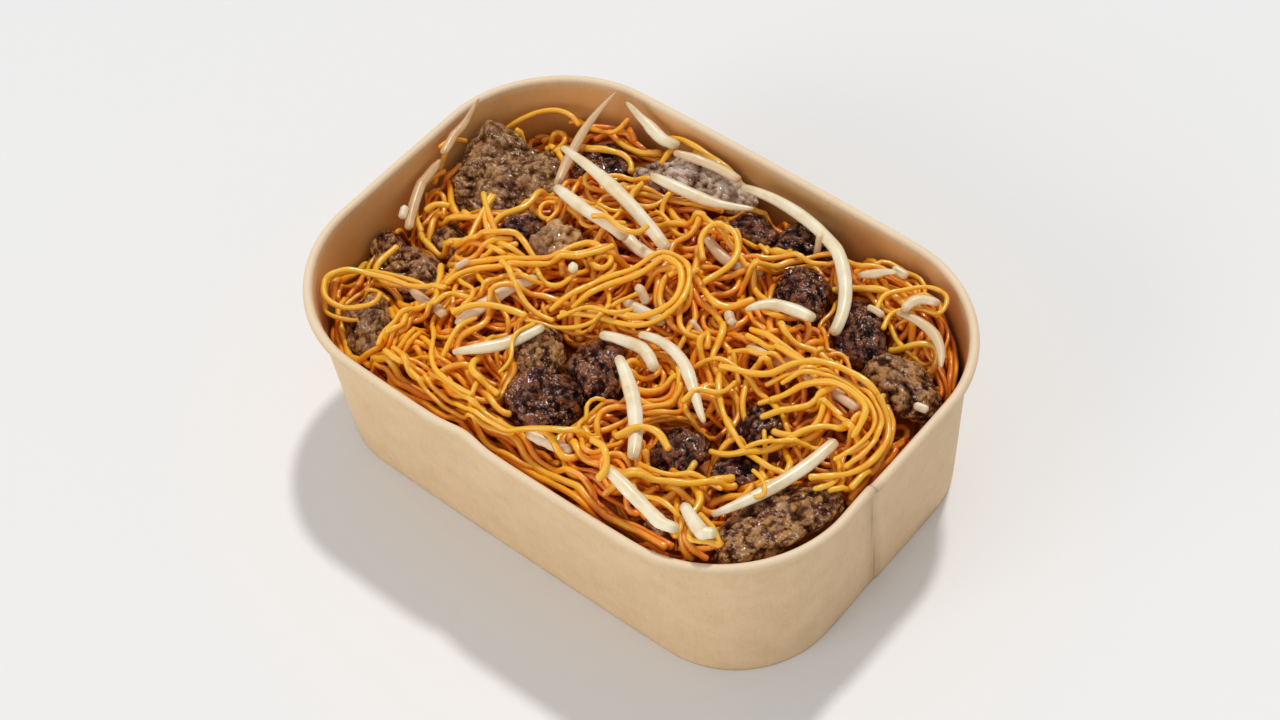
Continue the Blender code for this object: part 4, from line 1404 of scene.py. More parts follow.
    def lay(
        self,
        path: Array,
        draw: np.random.Generator,
        sides: int,
        stride: int,
        tuck: float,
        rise: Union[Array, float] = 0.0,
        bright: float = 0.0,
    ) -> Shell:
        """Drape a path over the relief, mark it there, and carry a tube along it.

        Args:
            path: The strand seen from above.
            draw: Where the chance comes from.
            sides: Points in a ring of the tube.
            stride: Path points for each ring.
            tuck: How far the ends dip into the heap.
            rise: How high it arches off the heap, or its lift at each point.
            bright: Least tone, from 0 for the darkest to 1 for golden.

        Returns:
            The strand.
        """
        radius = self.radius * draw.uniform(*self.girths)
        points = self.bowl.keep_inside(np.column_stack([path, np.full(len(path), 46.0)]), radius + 0.5)
        for axis in (0, 1):
            points[:, axis] = slide(points[:, axis], 2, "mean")
        rest = self.clearance(points, radius)
        number = np.arange(len(path))
        swing = draw.uniform(0.0, 1.3) * np.sin(2 * np.pi * number * self.step / draw.uniform(13, 30))
        placed = isinstance(rise, np.ndarray)
        span, sink = (self.spans[1], 3 * self.sink) if placed else (self.spans[0], self.sink)
        points[:, 2] = drape(rest, span, sink) + np.maximum(slide(swing, 2, "mean"), 0)
        end = np.minimum(number, number[::-1]) * self.step
        points[:, 2] -= tuck * (1 - smooth_step(0.0, self.tucked, end))
        arch = np.sin(np.pi * np.linspace(0, 1, len(path))) ** 2
        points[:, 2] += rise if placed else rise * arch
        points = self.bowl.keep_inside(points, radius + self.clear)
        self.relief.stamp(points, radius)
        points = points[::stride]
        waver = slide(draw.normal(0, self.waver, len(points)), 2, "mean")
        shell = tube(points, radius * (1 + waver), sides, self.square)
        shell.marks["tone"] = np.full(len(shell.points), draw.uniform(bright, 1))
        return shell

    def bundle(
        self, path: Array, draw: np.random.Generator, count: int, layer: Layer, tuck: float, rise: float
    ) -> list[Shell]:
        """Lay a path and up to a few more beside it, each cut to a length of its own.

        Args:
            path: The first strand seen from above.
            draw: Where the chance comes from.
            count: How many are laid.
            layer: What the strands are like.
            tuck: How far the ends dip into the heap.
            rise: How high the strands arch off the heap.

        Returns:
            The strands.
        """
        laid = []
        for number in range(count):
            offset = (number + 1) // 2 * (self.spacing if number % 2 else -self.spacing)
            own = self.beside(path, offset, draw) if number else path
            start = int(draw.integers(0, max(len(own) // 5, 1)))
            stop = len(own) - int(draw.integers(0, max(len(own) // 5, 1)))
            laid.append(self.lay(own[start:stop], draw, layer.sides, layer.stride, tuck, rise))
        return laid

    def fill(self, paths: Array, blocked: Array, layer: Layer, seed: int) -> list[Shell]:
        """Lay bundles where the ground is lowest until the heap is within spare of its target.

        Args:
            paths: The pool of strands.
            blocked: Cells that strands are kept off.
            layer: What the strands of this layer are like.
            seed: Starts the chance.

        Returns:
            The strands.
        """
        draw = np.random.default_rng(seed)
        laid: list[Shell] = []
        while len(laid) < layer.most:
            length = int(draw.integers(*layer.lengths))
            path = self.choose(paths, length, blocked, layer.spare)
            if path is None:
                break
            count = int(draw.choice((1, 2, 3), p=layer.together))
            tuck = float(draw.choice((0.0, 1.5, 3.0), p=(0.25, 0.35, 0.4)))
            rise = float(draw.uniform(0.0, layer.rise))
            laid += self.bundle(path, draw, count, layer, tuck, rise)
        return laid

    def heroes(self, seed: int) -> list[Shell]:
        """Lay the strands that stand out, each over a strand or two that keep beside it.

        Args:
            seed: Starts the chance.

        Returns:
            The strands.
        """
        draw = np.random.default_rng(seed)
        laid = []
        for route in ROUTES.values():
            path = route.path(self.step)
            if draw.uniform() < self.mate_chance:
                side = float(draw.choice((-self.spacing, self.spacing)))
                laid.append(self.lay(self.beside(path, side, draw), draw, MIDDLE.sides, MIDDLE.stride, 2.0))
        for route in ROUTES.values():
            laid.append(self.lay(route.path(self.step), draw, self.fine_sides, 1, 0.8, 0.0, self.bright))
        for trail in TRAILS.values():
            path, lift = trail.path(self.step)
            for mate in range(abs(trail.mates), 0, -1):
                away = mate * self.spacing * float(draw.uniform(0.95, 1.3))
                own = self.beside(path, math.copysign(away, trail.mates), draw)
                first, last = draw.integers(0, len(own) // 4, 2)
                part = slice(first, len(own) - last)
                laid.append(self.lay(own[part], draw, self.fine_sides, 1, 1.5, lift[part], self.mate_bright))
            if trail.hung:
                laid.append(self.hang(path, lift, draw))
            else:
                laid.append(self.lay(path, draw, self.fine_sides, 1, 0.0, lift, self.bright))
        return laid

    def crossings(self, seed: int) -> list[Shell]:
        """Lay the strands that cross the ends of sprouts.

        Args:
            seed: Starts the chance.

        Returns:
            The strands.
        """
        draw = np.random.default_rng(seed)
        paths = [trail.path(self.step) for trail in CROSSINGS]
        return [self.lay(path, draw, self.fine_sides, 1, 1.5, lift, self.bright) for path, lift in paths]

    def hang(self, path: Array, height: Array, draw: np.random.Generator) -> Shell:
        """Carry a strand along a path at given heights, pressed in from the wall.

        Args:
            path: The strand seen from above.
            height: Its height above the floor at each point.
            draw: Where the chance comes from.

        Returns:
            The strand.
        """
        radius = self.radius * draw.uniform(*self.girths)
        points = self.bowl.keep_inside(np.column_stack([path, height]), radius + self.clear)
        self.relief.stamp(points, radius)
        shell = tube(points, np.full(len(points), radius), self.fine_sides, self.square)
        shell.marks["tone"] = np.full(len(shell.points), self.hung_tone)
        shell.marks["soak_shade"] = np.full(len(shell.points), self.hung_soak_shade)
        return shell

    def soak_shade(self, shells: list[Shell]) -> None:
        """Mark each point with its depth under the top of the heap around it, from 0 on top to 1 deep down,
        which darkens the noodles for sauce and as painted shade.

        Args:
            shells: The strands, of which the hung ones are marked already.
        """
        top = self.relief.height
        high = top.copy()
        for axis in (0, 1):
            high = np.apply_along_axis(slide, axis, high, 6, "max")
            high = np.apply_along_axis(slide, axis, high, 6, "mean")
        for shell in shells:
            if "soak_shade" in shell.marks:
                continue
            row, column = self.relief.index(shell.points[:, 0], shell.points[:, 1])
            depth = high[row, column] - shell.points[:, 2]
            shell.marks["soak_shade"] = np.clip((depth - self.soak_shade_depths[0]) / self.soak_shade_depths[1], 0.0, 1.0)

    def core(self) -> bpy.types.Object:
        """The low core: a closed skin of dark, bumpy noodle under the strands, down to the board, darkened for
        sauce and as painted shade in the gaps.

        Returns:
            The core's object.
        """
        x, y = self.relief.x[::3, ::3], self.relief.y[::3, ::3]
        flat = np.column_stack([x.ravel(), y.ravel(), np.full(x.size, 40.0)])
        flat = self.bowl.keep_inside(flat, 0.35)
        bump = 0.7 * rough_noise(flat[:, :2], 3.0, 11)
        flat[:, 2] = self.heap.level(flat[:, 0], flat[:, 1]) - self.under_depth + bump
        flat = self.bowl.keep_inside(flat, 0.35)
        rows, columns = x.shape
        under = flat.copy()
        under[:, 2] = self.board_level
        under = self.bowl.keep_inside(under, 1.0)
        top = grid_quads(rows, columns, False, False)
        low = top[:, ::-1] + len(flat)
        number = np.arange(rows * columns).reshape(rows, columns)
        rim = np.concatenate([number[0], number[1:, -1], number[-1, -2::-1], number[-2:0:-1, 0]])
        after = np.roll(rim, -1)
        wall = np.stack([rim + len(flat), after + len(flat), after, rim], axis=-1)
        shell = Shell(np.concatenate([flat, under]), np.concatenate([top, low, wall]), np.zeros((0, 3), int))
        return make_piece("noodle_core", shell, self.sauce(), Slot.NOODLE, ("noodle_heap",))

    def sauce(self) -> bpy.types.Material:
        """Dark red-brown over packed noodle, wet and uneven: sauce, and painted shade for the deep gaps between
        strands.

        Returns:
            The material.
        """
        paint = Paint("noodle_sauce_shade")
        patch = paint.noise(4.0, 4.0, 0.6)
        # Dark red-brown stops: sauce, and painted shade where the core shows between strands.
        colour = paint.ramp(
            patch, [(0.3, (0.20, 0.036, 0.004)), (0.55, (0.52, 0.13, 0.008)), (0.8, (0.76, 0.26, 0.015))]
        )
        fine = paint.noise(1.3, 3.0, 0.6)
        return paint.finish(
            Base_Color=colour,
            Roughness=paint.span(fine, 0.3, 0.7, 0.25, 0.5),
            Normal=paint.relief(fine, 0.5, 0.7),
            Specular_IOR_Level=0.15,
        )


class Meat(Enum):
    """How a piece of beef is browned."""

    BROWN = "beef_brown"
    OLIVE = "beef_olive"
    DARK = "beef_dark"
    PALE = "beef_pale"
    GLAZED = "beef_glazed_sheen"


@dataclass(frozen=True)
class MeatTone:
    """A browning of beef: its hollows, darkened as painted shade, its mean, its ridges, paler partly as painted
    light, and how strongly pale specks show on it, which are painted glints.
    """

    hollow: Colour
    mean: Colour
    ridge: Colour
    gloss: float
    painted_glint: float = 0.9

    def build(self, name: str) -> bpy.types.Material:
        """Wet fibrous meat: hollows darkened as painted shade, torn ridges along the fibres paler, partly torn
        fibre and partly painted light, pale specks as painted glints, and glints on a broken wet film.

        Args:
            name: The material's name.

        Returns:
            The material.
        """
        paint = Paint(name)
        relief = paint.mark("crag")
        blotch = paint.noise(4.5, 4.0, 0.6)
        grain = paint.noise(0.8, 5.0, 0.75, warp=0.8)
        # Sparse pale specks: painted glints.
        painted_glint = paint.span(paint.noise(0.62, 1.0, 0.5), 0.61, 0.655)
        # Colour by the relief: the hollows go dark as painted shade, and the ridges go pale, partly torn fibre
        # and partly painted light.
        share = paint.span(relief, -1.0, 1.0, -0.06, 0.92)
        share = paint.sum("ADD", share, paint.span(blotch, 0.3, 0.7, -0.2, 0.2))
        share = paint.sum("ADD", share, paint.span(grain, 0.3, 0.7, -0.2, 0.2), True)
        colour = paint.ramp(share, [(0.2, self.hollow), (0.5, self.mean), (0.8, self.ridge)])
        purple = paint.span(paint.noise(7.0, 2.0, 0.5), 0.52, 0.68, 0.0, 0.45)
        colour = paint.blend(purple, colour, (0.085, 0.018, 0.018))
        # Pale specks on the ridges, in patches: painted glints.
        patch = paint.span(paint.noise(5.0, 2.0, 0.5), 0.42, 0.6, 0.15, self.painted_glint)
        painted_glint = paint.sum("MULTIPLY", paint.sum("MULTIPLY", painted_glint, patch), paint.span(share, 0.3, 0.6, 0.0, 0.75))
        colour = paint.blend(painted_glint, colour, (0.92, 0.76, 0.64))
        rough = paint.span(grain, 0.35, 0.65, 0.3, 0.6)
        coarse = paint.relief(paint.noise(1.5, 2.0, 0.6), 0.6, 0.75)
        fine = paint.relief(grain, 0.5, 0.8)
        wet = paint.span(paint.noise(3.4, 2.0, 0.5), 0.38, 0.58, 0.1, self.gloss)
        wet = paint.sum("MULTIPLY", wet, paint.span(share, 0.34, 0.58, 0.0, 1.0))
        return paint.finish(
            Base_Color=colour,
            Roughness=rough,
            Normal=fine,
            Specular_IOR_Level=0.06,
            Coat_Weight=wet,
            Coat_Roughness=0.05,
            Coat_Normal=coarse,
        )


MEAT_TONES = {
    Meat.BROWN: MeatTone((0.005, 0.001, 0.001), (0.13, 0.036, 0.005), (0.54, 0.26, 0.085), 0.9),
    Meat.OLIVE: MeatTone((0.026, 0.006, 0.002), (0.195, 0.078, 0.020), (0.52, 0.28, 0.115), 0.9, 1.0),
    Meat.DARK: MeatTone((0.002, 0.001, 0.001), (0.030, 0.004, 0.001), (0.27, 0.085, 0.032), 0.95),
    Meat.PALE: MeatTone((0.110, 0.024, 0.002), (0.42, 0.20, 0.070), (0.70, 0.42, 0.18), 0.7, 0.5),
    # The glazed piece's pale, grey-tan mean and ridges: glaze, and painted sheen.
    Meat.GLAZED: MeatTone((0.070, 0.022, 0.008), (0.46, 0.29, 0.18), (0.80, 0.65, 0.52), 1.0, 1.0),
}


@dataclass(frozen=True)
class Cut:
    """A piece of beef: its middle, half sizes, heading, roll, bend and browning, with angles in degrees.

    A bump is a place along and across the piece, a reach and a height, which is below 0 for a hollow.
    """

    x: float
    y: float
    length: float
    width: float
    height: float
    heading: float
    roll: float
    bend: float
    meat: Meat
    bumps: tuple[Patch, ...] = ()


# Each piece of beef by the CAD node that it replaces.
CUTS = {
    "beef_slab": Cut(
        -64, 20.6, 15.0, 13.4, 4.6, 40, 20, 1.5, Meat.OLIVE,
        ((-4, 13.5, 3.4, 3.5), (-9, 3, 3.0, -1.2), (6, -4, 3.0, -1.4)),
    ),
    "beef_left_front": Cut(-76.5, -16.5, 7.8, 5.6, 4.0, -47, 0, 0.5, Meat.BROWN),
    "beef_left_middle": Cut(-61.5, -21, 8.6, 7.4, 4.2, 30, 0, 1.0, Meat.BROWN),
    "beef_left_back": Cut(-62, -5, 5.8, 5.0, 3.0, 12, 0, 0.5, Meat.BROWN),
    "beef_near_left": Cut(-58, -42, 9.3, 6.4, 3.6, -46, 0, 0.5, Meat.OLIVE),
    "beef_fold": Cut(-45, 4, 7.5, 4.7, 4.0, 83, -15, 1.5, Meat.DARK),
    "beef_ball": Cut(-33, 6, 6.8, 6.4, 4.8, -51, 0, 0.5, Meat.PALE),
    "beef_back_left": Cut(-45, 39, 8.0, 6.6, 3.7, 10, 0, 0.8, Meat.DARK),
    "beef_long": Cut(-18, 47, 18.3, 5.7, 4.2, 15, 15, 2.5, Meat.GLAZED),
    "beef_back_middle": Cut(5, 43, 6.0, 5.3, 3.2, 31, 0, 0.5, Meat.DARK),
    "beef_back_right": Cut(20, 47, 7.3, 6.5, 3.8, 21, 0, 0.5, Meat.DARK),
    "beef_right_inner": Cut(31, 30, 9.6, 6.4, 4.0, -53, 0, 1.0, Meat.DARK),
    "beef_right_middle": Cut(50, 31, 10.5, 6.5, 4.0, -42, 0, 1.0, Meat.DARK),
    "beef_right_end": Cut(69.5, 21.5, 10.8, 8.0, 5.0, 2, 0, 1.0, Meat.BROWN),
    "beef_curl": Cut(0, -37, 9.2, 8.2, 4.6, 37, 8, 2.5, Meat.DARK, ((0, 0, 2.6, -4.5), (6, -4, 1.8, -2.5))),
    "beef_dark_right": Cut(5, -20.5, 9.8, 7.0, 4.0, -53, 0, 1.0, Meat.DARK),
    "beef_dark_left": Cut(-11, -25, 7.8, 6.6, 3.6, -37, 0, 1.0, Meat.BROWN),
    "beef_middle": Cut(38, -29, 7.0, 6.2, 4.0, -46, 0, 1.0, Meat.DARK),
    "beef_inner": Cut(50, -11.5, 7.2, 5.4, 3.5, -53, 0, 0.5, Meat.DARK),
    "beef_low": Cut(53, -25, 5.2, 5.0, 3.0, 29, 0, 0.5, Meat.DARK),
    "beef_strip": Cut(70.5, -31, 18.0, 7.3, 4.6, 63, -10, 2.0, Meat.BROWN),
    "beef_near_rim": Cut(48, -49, 3.2, 2.8, 2.5, 37, 0, 0.0, Meat.BROWN),
}


@dataclass
class Beef:
    """The pieces of beef, each torn along its fibres."""

    bowl: BowlForm
    spacing: float = 0.36

    def surface(self, node: str, cut: Cut, number: int) -> Shell:
        """A blunt-ended lump that is bent along its length, with lumps, torn ridges and pits.

        Its girth is the sine of the way along to the power 0.6. Two slow waves swell it, layered noise adds
        lumps, noise stretched along the fibres adds ridges, and grains of two sizes stand out as domes. Its
        top stands as high as the CAD node's.

        Args:
            node: The CAD node that it stands for.
            cut: Its sizes.
            number: Its place among the cuts, which seeds its shape.

        Returns:
            A closed shell with its ridges marked.
        """
        draw = random.Random(SEED + number)
        phases = [draw.uniform(0, 2 * math.pi) for _ in range(4)]
        rows = int(2.7 * cut.length / self.spacing)
        columns = int(2 * math.pi * math.hypot(cut.width, cut.height) / math.sqrt(2) / self.spacing)
        share = (np.arange(rows) + 0.6) / (rows + 0.2)
        turn = np.linspace(0, 2 * np.pi, columns, endpoint=False)
        along, around = np.meshgrid(np.pi * share, turn, indexing="ij")
        girth = np.sin(along) ** 0.6
        lump = 1 + 0.10 * np.sin(2 * around + 3 * along + phases[0])
        lump = lump + 0.07 * np.sin(3 * around - 2 * along + phases[1])
        x = -cut.length * np.cos(along)
        y = cut.width * girth * lump * np.cos(around) + 0.12 * cut.width * np.sin(2 * along + phases[2])
        z = cut.height * girth * lump * np.sin(around)
        z = z + cut.bend * np.cos(np.pi * np.cos(along) + 0.4 * math.sin(phases[3])) * 0.5
        ends = np.array(((-cut.length, 0.0, -0.5 * cut.bend), (cut.length, 0.0, -0.5 * cut.bend)))
        points = np.concatenate([np.stack([x, y, z], axis=-1).reshape(-1, 3), ends])
        out = points / (cut.length**2, cut.width**2, cut.height**2)
        out /= np.linalg.norm(out, axis=1)[:, None]
        lumps = rough_noise(points, 6.0, 40 + number, 2)
        fibres = points * (0.4, 1.0, 1.0)
        torn = 1.0 - 2.2 * np.abs(rough_noise(fibres + 0.6 * lumps[:, None], 2.4, 70 + number, 3))
        warp = lattice_noise(points, 1.7, 110 + number)
        bent = points * (0.75, 1.0, 1.0) + 0.55 * np.column_stack([lumps + warp, warp - lumps, torn])
        grains = 0.62 - grain_noise(bent, 1.7, 90 + number)
        crumbs = 0.55 - grain_noise(bent, 0.95, 130 + number)
        push = 1.5 * lumps + 0.45 * torn + 1.0 * grains + 0.5 * crumbs - 0.3
        for place_x, place_y, reach, rise in cut.bumps:
            away = np.hypot(points[:, 0] - place_x, points[:, 1] - place_y) / reach
            push += rise * np.exp(-(away**2)) * (points[:, 2] > 0)
        points = points + out * push[:, None]
        points = self.turned(points, cut)
        shell = skin_of_rings(points[:-2].reshape(rows, columns, 3), points[-2], points[-1])
        shell.marks["crag"] = np.clip(0.25 * torn + 1.5 * grains + 0.8 * crumbs + 0.3 * lumps, -1, 1)
        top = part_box(node)[1].z / MM
        shell.points[:, :2] += (cut.x, cut.y)
        shell.points[:, 2] += top - shell.points[:, 2].max()
        shell.points = self.bowl.keep_inside(shell.points, 0.6)
        return shell

    def turned(self, points: Array, cut: Cut) -> Array:
        """Roll points about X, then turn them to the cut's heading about Z.

        Args:
            points: The points about the piece's own middle.
            cut: The piece.

        Returns:
            The turned points.
        """
        tip, turn = math.radians(cut.roll), math.radians(cut.heading)
        x, y, z = points.T
        y, z = y * math.cos(tip) - z * math.sin(tip), y * math.sin(tip) + z * math.cos(tip)
        along = x * math.cos(turn) - y * math.sin(turn)
        across = x * math.sin(turn) + y * math.cos(turn)
        return np.column_stack([along, across, z])

    def shells(self) -> dict[str, Shell]:
        """Every piece's surface by its node."""
        return {node: self.surface(node, cut, number) for number, (node, cut) in enumerate(CUTS.items())}

    def build(self, shells: dict[str, Shell]) -> None:
        """Make the pieces and dress them by their browning.

        Args:
            shells: Every piece's surface by its node.
        """
        materials = {meat: tone.build(meat.value) for meat, tone in MEAT_TONES.items()}
        for node, shell in shells.items():
            make_piece(node + "_meat", shell, materials[CUTS[node].meat], Slot.BEEF, (node,))


@dataclass(frozen=True)
class Shoot:
    """A sprout: the points it passes, its width, how far its ends lift, and their widths as shares of its own.

    A low one lies under the upper strands. Stain is how far sauce has coloured it, from 0 to 1.
    """

    route: tuple[tuple[float, float], ...]
    width: float
    lifts: tuple[float, float] = (0.0, 0.0)
    ends: tuple[float, float] = (0.7, 0.8)
    low: bool = False
    stain: float = 0.0


# Each sprout by the CAD node that it replaces.
SHOOTS = {
    "sprout_far_tip": Shoot(((-51, 54.5), (-53, 40), (-49, 25)), 2.9, (8.5, 0.0), (0.12, 0.8), stain=0.8),
    "sprout_back_long": Shoot(((-50, 30), (-30, 27), (-5, 19)), 3.6, ends=(0.5, 0.85)),
    "sprout_back_short": Shoot(((-42, 18), (-29, 16), (-14, 13)), 3.7),
    "sprout_wall_left": Shoot(((-47, 55), (-42, 54), (-28, 51)), 3.6, (4.5, 0.0), (0.2, 0.9)),
    "sprout_over_beef": Shoot(((-24, 37), (-10, 40), (3, 46)), 3.5, ends=(0.8, 0.3)),
    "sprout_wall_arc": Shoot(((-25, 48), (-16, 51), (-6, 51)), 2.9, (1.0, 1.0), stain=0.5),
    "sprout_bent": Shoot(((-3, 50), (21, 50), (36, 42), (47, 24)), 3.5, (1.0, 0.0)),
    "sprout_under": Shoot(((-20, 18), (-12, 16), (-5, 16)), 3.5, low=True),
    "sprout_left": Shoot(((-32, -33), (-30, -21), (-25, -11)), 3.7, low=True),
    "sprout_near_left": Shoot(((-25, -42), (-18, -33), (-13, -22)), 3.5, ends=(0.5, 0.7)),
    "sprout_hook": Shoot(((1, -14), (9, -12), (20, -16)), 3.4),
    "sprout_upright": Shoot(((12, -20), (21, -26), (34, -41)), 3.5),
    "sprout_arc": Shoot(((10, -9), (18, -8), (29, -13), (41, -22)), 3.1, ends=(0.7, 0.35)),
    "sprout_middle": Shoot(((28, 12), (34, 19), (42, 21)), 3.5, ends=(0.35, 0.85)),
    "sprout_cross": Shoot(((34, 5), (49, 7), (67, 6)), 3.2, low=True, stain=0.4),
    "sprout_near_right": Shoot(((60, -42), (65, -31), (70, -7)), 3.5, ends=(0.45, 0.8)),
    "sprout_near_edge": Shoot(((33, -49.5), (45, -51.5), (57.5, -54.5)), 3.4, ends=(0.7, 0.8)),
    "sprout_near_corner": Shoot(((54.5, -46), (61, -49), (67, -51)), 3.5),
    "sprout_near_stub": Shoot(((5, -48), (11, -47), (17, -46)), 3.3, low=True),
    "sprout_far_stub": Shoot(((40, 44), (44, 47), (49, 48)), 2.9, (0.0, 2.0), (0.5, 0.25), stain=0.3),
    "sprout_right_wall": Shoot(((57, 38), (65, 39), (76, 30)), 3.0, (0.0, 1.0), (0.5, 0.3), stain=0.6),
    "sprout_left_wall": Shoot(((-82, 10.5), (-78.5, 0), (-72, -11)), 2.9, (1.0, 0.0), stain=0.9),
    "sprout_left_tip": Shoot(((-83, 29), (-80.6, 20.6), (-77.8, 11)), 2.6, (9.0, 0.0), (0.15, 0.8), stain=1.0),
    "sprout_left_front": Shoot(((-56, -27), (-48, -29), (-39, -32)), 3.0, low=True, stain=0.6),
    "sprout_back_stub": Shoot(((1, 29), (9, 28), (18, 30)), 3.4, low=True, stain=0.5),
    "sprout_centre_stub": Shoot(((-3, 0), (4, 0), (10, -1)), 3.2, low=True),
    "sprout_right_loop": Shoot(((59, 38), (59, 43), (64, 45)), 2.9, (0.0, 1.0), stain=0.4),
}


# Where short broken bits of sprout lie.
CRUMBS = (
    (17.8, 4.2), (23.8, 10.3), (-0.3, 3.6), (51.3, 36), (79, 17.4), (-18.4, -2.7),
    (-76.1, -8.5), (-44.8, -17.5), (48.4, 50.7), (25.3, 45.8), (-61.7, 54.2),
)


@dataclass
class Sprouts:
    """The bean sprouts, draped over noodles and beef."""

    bowl: BowlForm
    relief: Relief
    rings: int = 72
    sides: int = 16
    square: float = 0.09
    flat: float = 0.8
    sink: float = 0.9
    crumb_rings: int = 9

    def course(self, shoot: Shoot) -> Array:
        """The smooth curve that passes the route's points in turn, by the polynomial through them.

        Args:
            shoot: The sprout.

        Returns:
            Points seen from above.
        """
        stops = np.array(shoot.route, dtype=float)
        steps = np.hypot(*np.diff(stops, axis=0).T)
        knots = np.concatenate([[0], np.cumsum(steps)]) / steps.sum()
        share = np.linspace(0, 1, self.rings)
        total = np.zeros((self.rings, 2))
        for index, stop in enumerate(stops):
            others = np.delete(knots, index)
            weight = ((share[:, None] - others) / (knots[index] - others)).prod(axis=1)
            total += weight[:, None] * stop
        return total

    def surface(self, shoot: Shoot, number: int) -> Shell:
        """A tapered, slightly flat shoot, stiff enough to bridge what it lies on.

        From each end's share of the width the radius grows with the way along to the power 0.7 until it is
        full, and layered noise makes it uneven.

        Args:
            shoot: The sprout.
            number: Seeds its unevenness.

        Returns:
            A closed shell.
        """
        radius = shoot.width / 2
        route = self.course(shoot)
        points = self.bowl.keep_inside(np.column_stack([route, np.full(len(route), 48.0)]), radius + 0.6)
        rest = self.relief.rest(points[:, 0], points[:, 1], radius)
        share = np.linspace(0, 1, self.rings)
        lift = shoot.lifts[0] * (1 - share) ** 2 + shoot.lifts[1] * share**2
        points[:, 2] = drape(rest, self.rings // 3, self.sink) + lift
        points[:, 2] = slide(points[:, 2], 5, "mean")
        first, last = shoot.ends
        radii = radius * np.minimum(1, first + (1 - first) * (share / (0.58 - 0.4 * first)) ** 0.7)
        radii *= np.minimum(1, last + (1 - last) * ((1 - share) / (0.58 - 0.4 * last)) ** 0.7)
        spots = np.column_stack([share * 40, np.full(self.rings, 9.0 * number)])
        radii *= 1 + 0.10 * rough_noise(spots, 6.0, 3, 2)
        self.relief.stamp(points[::2], radius * 0.9)
        shell = tube(points, radii, self.sides, self.square, self.flat)
        rings = np.repeat(np.concatenate([[0.0], share, [1.0]]), self.sides)
        shell.marks["share"] = np.concatenate([rings, [0.0, 1.0]])
        shell.marks["stain"] = np.full(len(shell.points), shoot.stain)
        return shell

    def build(self, low: bool, material: bpy.types.Material) -> None:
        """Lay the sprouts of one layer.

        Args:
            low: Whether it is the lower layer.
            material: Their finish.
        """
        for number, (node, shoot) in enumerate(SHOOTS.items()):
            if shoot.low == low:
                make_piece(node + "_shoot", self.surface(shoot, number), material, Slot.SPROUT, (node,))

    def crumbs(self, material: bpy.types.Material) -> None:
        """Scatter short broken bits of sprout on top, in one piece.

        Args:
            material: Their finish.
        """
        draw = np.random.default_rng(SEED + 7)
        count = self.crumb_rings
        share = np.linspace(-1, 1, count)
        shells = []
        for x, y in CRUMBS:
            turn = draw.uniform(0, math.pi)
            half = draw.uniform(0.8, 2.0)
            points = np.column_stack(
                [x + share * half * math.cos(turn), y + share * half * math.sin(turn), np.zeros(count)]
            )
            radius = draw.uniform(0.9, 1.3)
            rest = self.relief.rest(points[:, 0], points[:, 1], radius)
            points[:, 2] = slide(rest, 4, "mean") - 0.2 + share * draw.uniform(-0.5, 0.5)
            points = self.bowl.keep_inside(points, radius + 0.5)
            shell = tube(points, np.full(count, radius), self.sides, self.square)
            shell.marks["share"] = np.full(len(shell.points), 0.5)
            shell.marks["stain"] = np.full(len(shell.points), draw.uniform(0.0, 0.6))
            shells.append(shell)
        make_piece("sprout_crumbs", join_shells(shells), material, Slot.SPROUT, ())

    def finish(self) -> bpy.types.Material:
        """A translucent cream shoot, clouded and streaked, brown at its ends and where sauce has stained it.

        Returns:
            The material.
        """
        paint = Paint("bean_sprout")
        share = paint.mark("share")
        cloud = paint.noise(6.0, 3.0, 0.5)
        streak = paint.noise(0.8, 3.0, 0.6, (1, 1, 1), 0.4)
        colour = paint.ramp(
            cloud, [(0.25, (0.78, 0.60, 0.32)), (0.5, (0.92, 0.79, 0.54)), (0.8, (1.0, 0.92, 0.72))]
        )
        colour = paint.blend(paint.span(streak, 0.35, 0.7, 0.0, 0.35), colour, (1.0, 0.90, 0.74))
        ends = paint.span(share, 0.0, 0.09, 1.0, 0.0)
        ends = paint.sum("MAXIMUM", ends, paint.span(share, 0.93, 1.0, 0.0, 1.0))
        colour = paint.blend(paint.sum("MULTIPLY", ends, 0.55), colour, (0.52, 0.34, 0.12))
        sauce = paint.sum("MULTIPLY", paint.mark("stain"), paint.span(cloud, 0.3, 0.6, 0.45, 0.85))
        tip = paint.sum("MULTIPLY", paint.mark("stain"), paint.span(share, 0.0, 0.4, 1.0, 0.0))
        colour = paint.blend(paint.sum("MAXIMUM", sauce, tip), colour, (0.60, 0.30, 0.085))
        return paint.finish(
            Base_Color=colour,
            Roughness=paint.span(streak, 0.3, 0.7, 0.28, 0.42),
            Normal=paint.relief(streak, 0.12, 0.5),
            Subsurface_Weight=0.35,
            Subsurface_Radius=(1.0, 0.8, 0.45),
            Subsurface_Scale=0.0016,
            Coat_Weight=0.35,
            Coat_Roughness=0.2,
        )


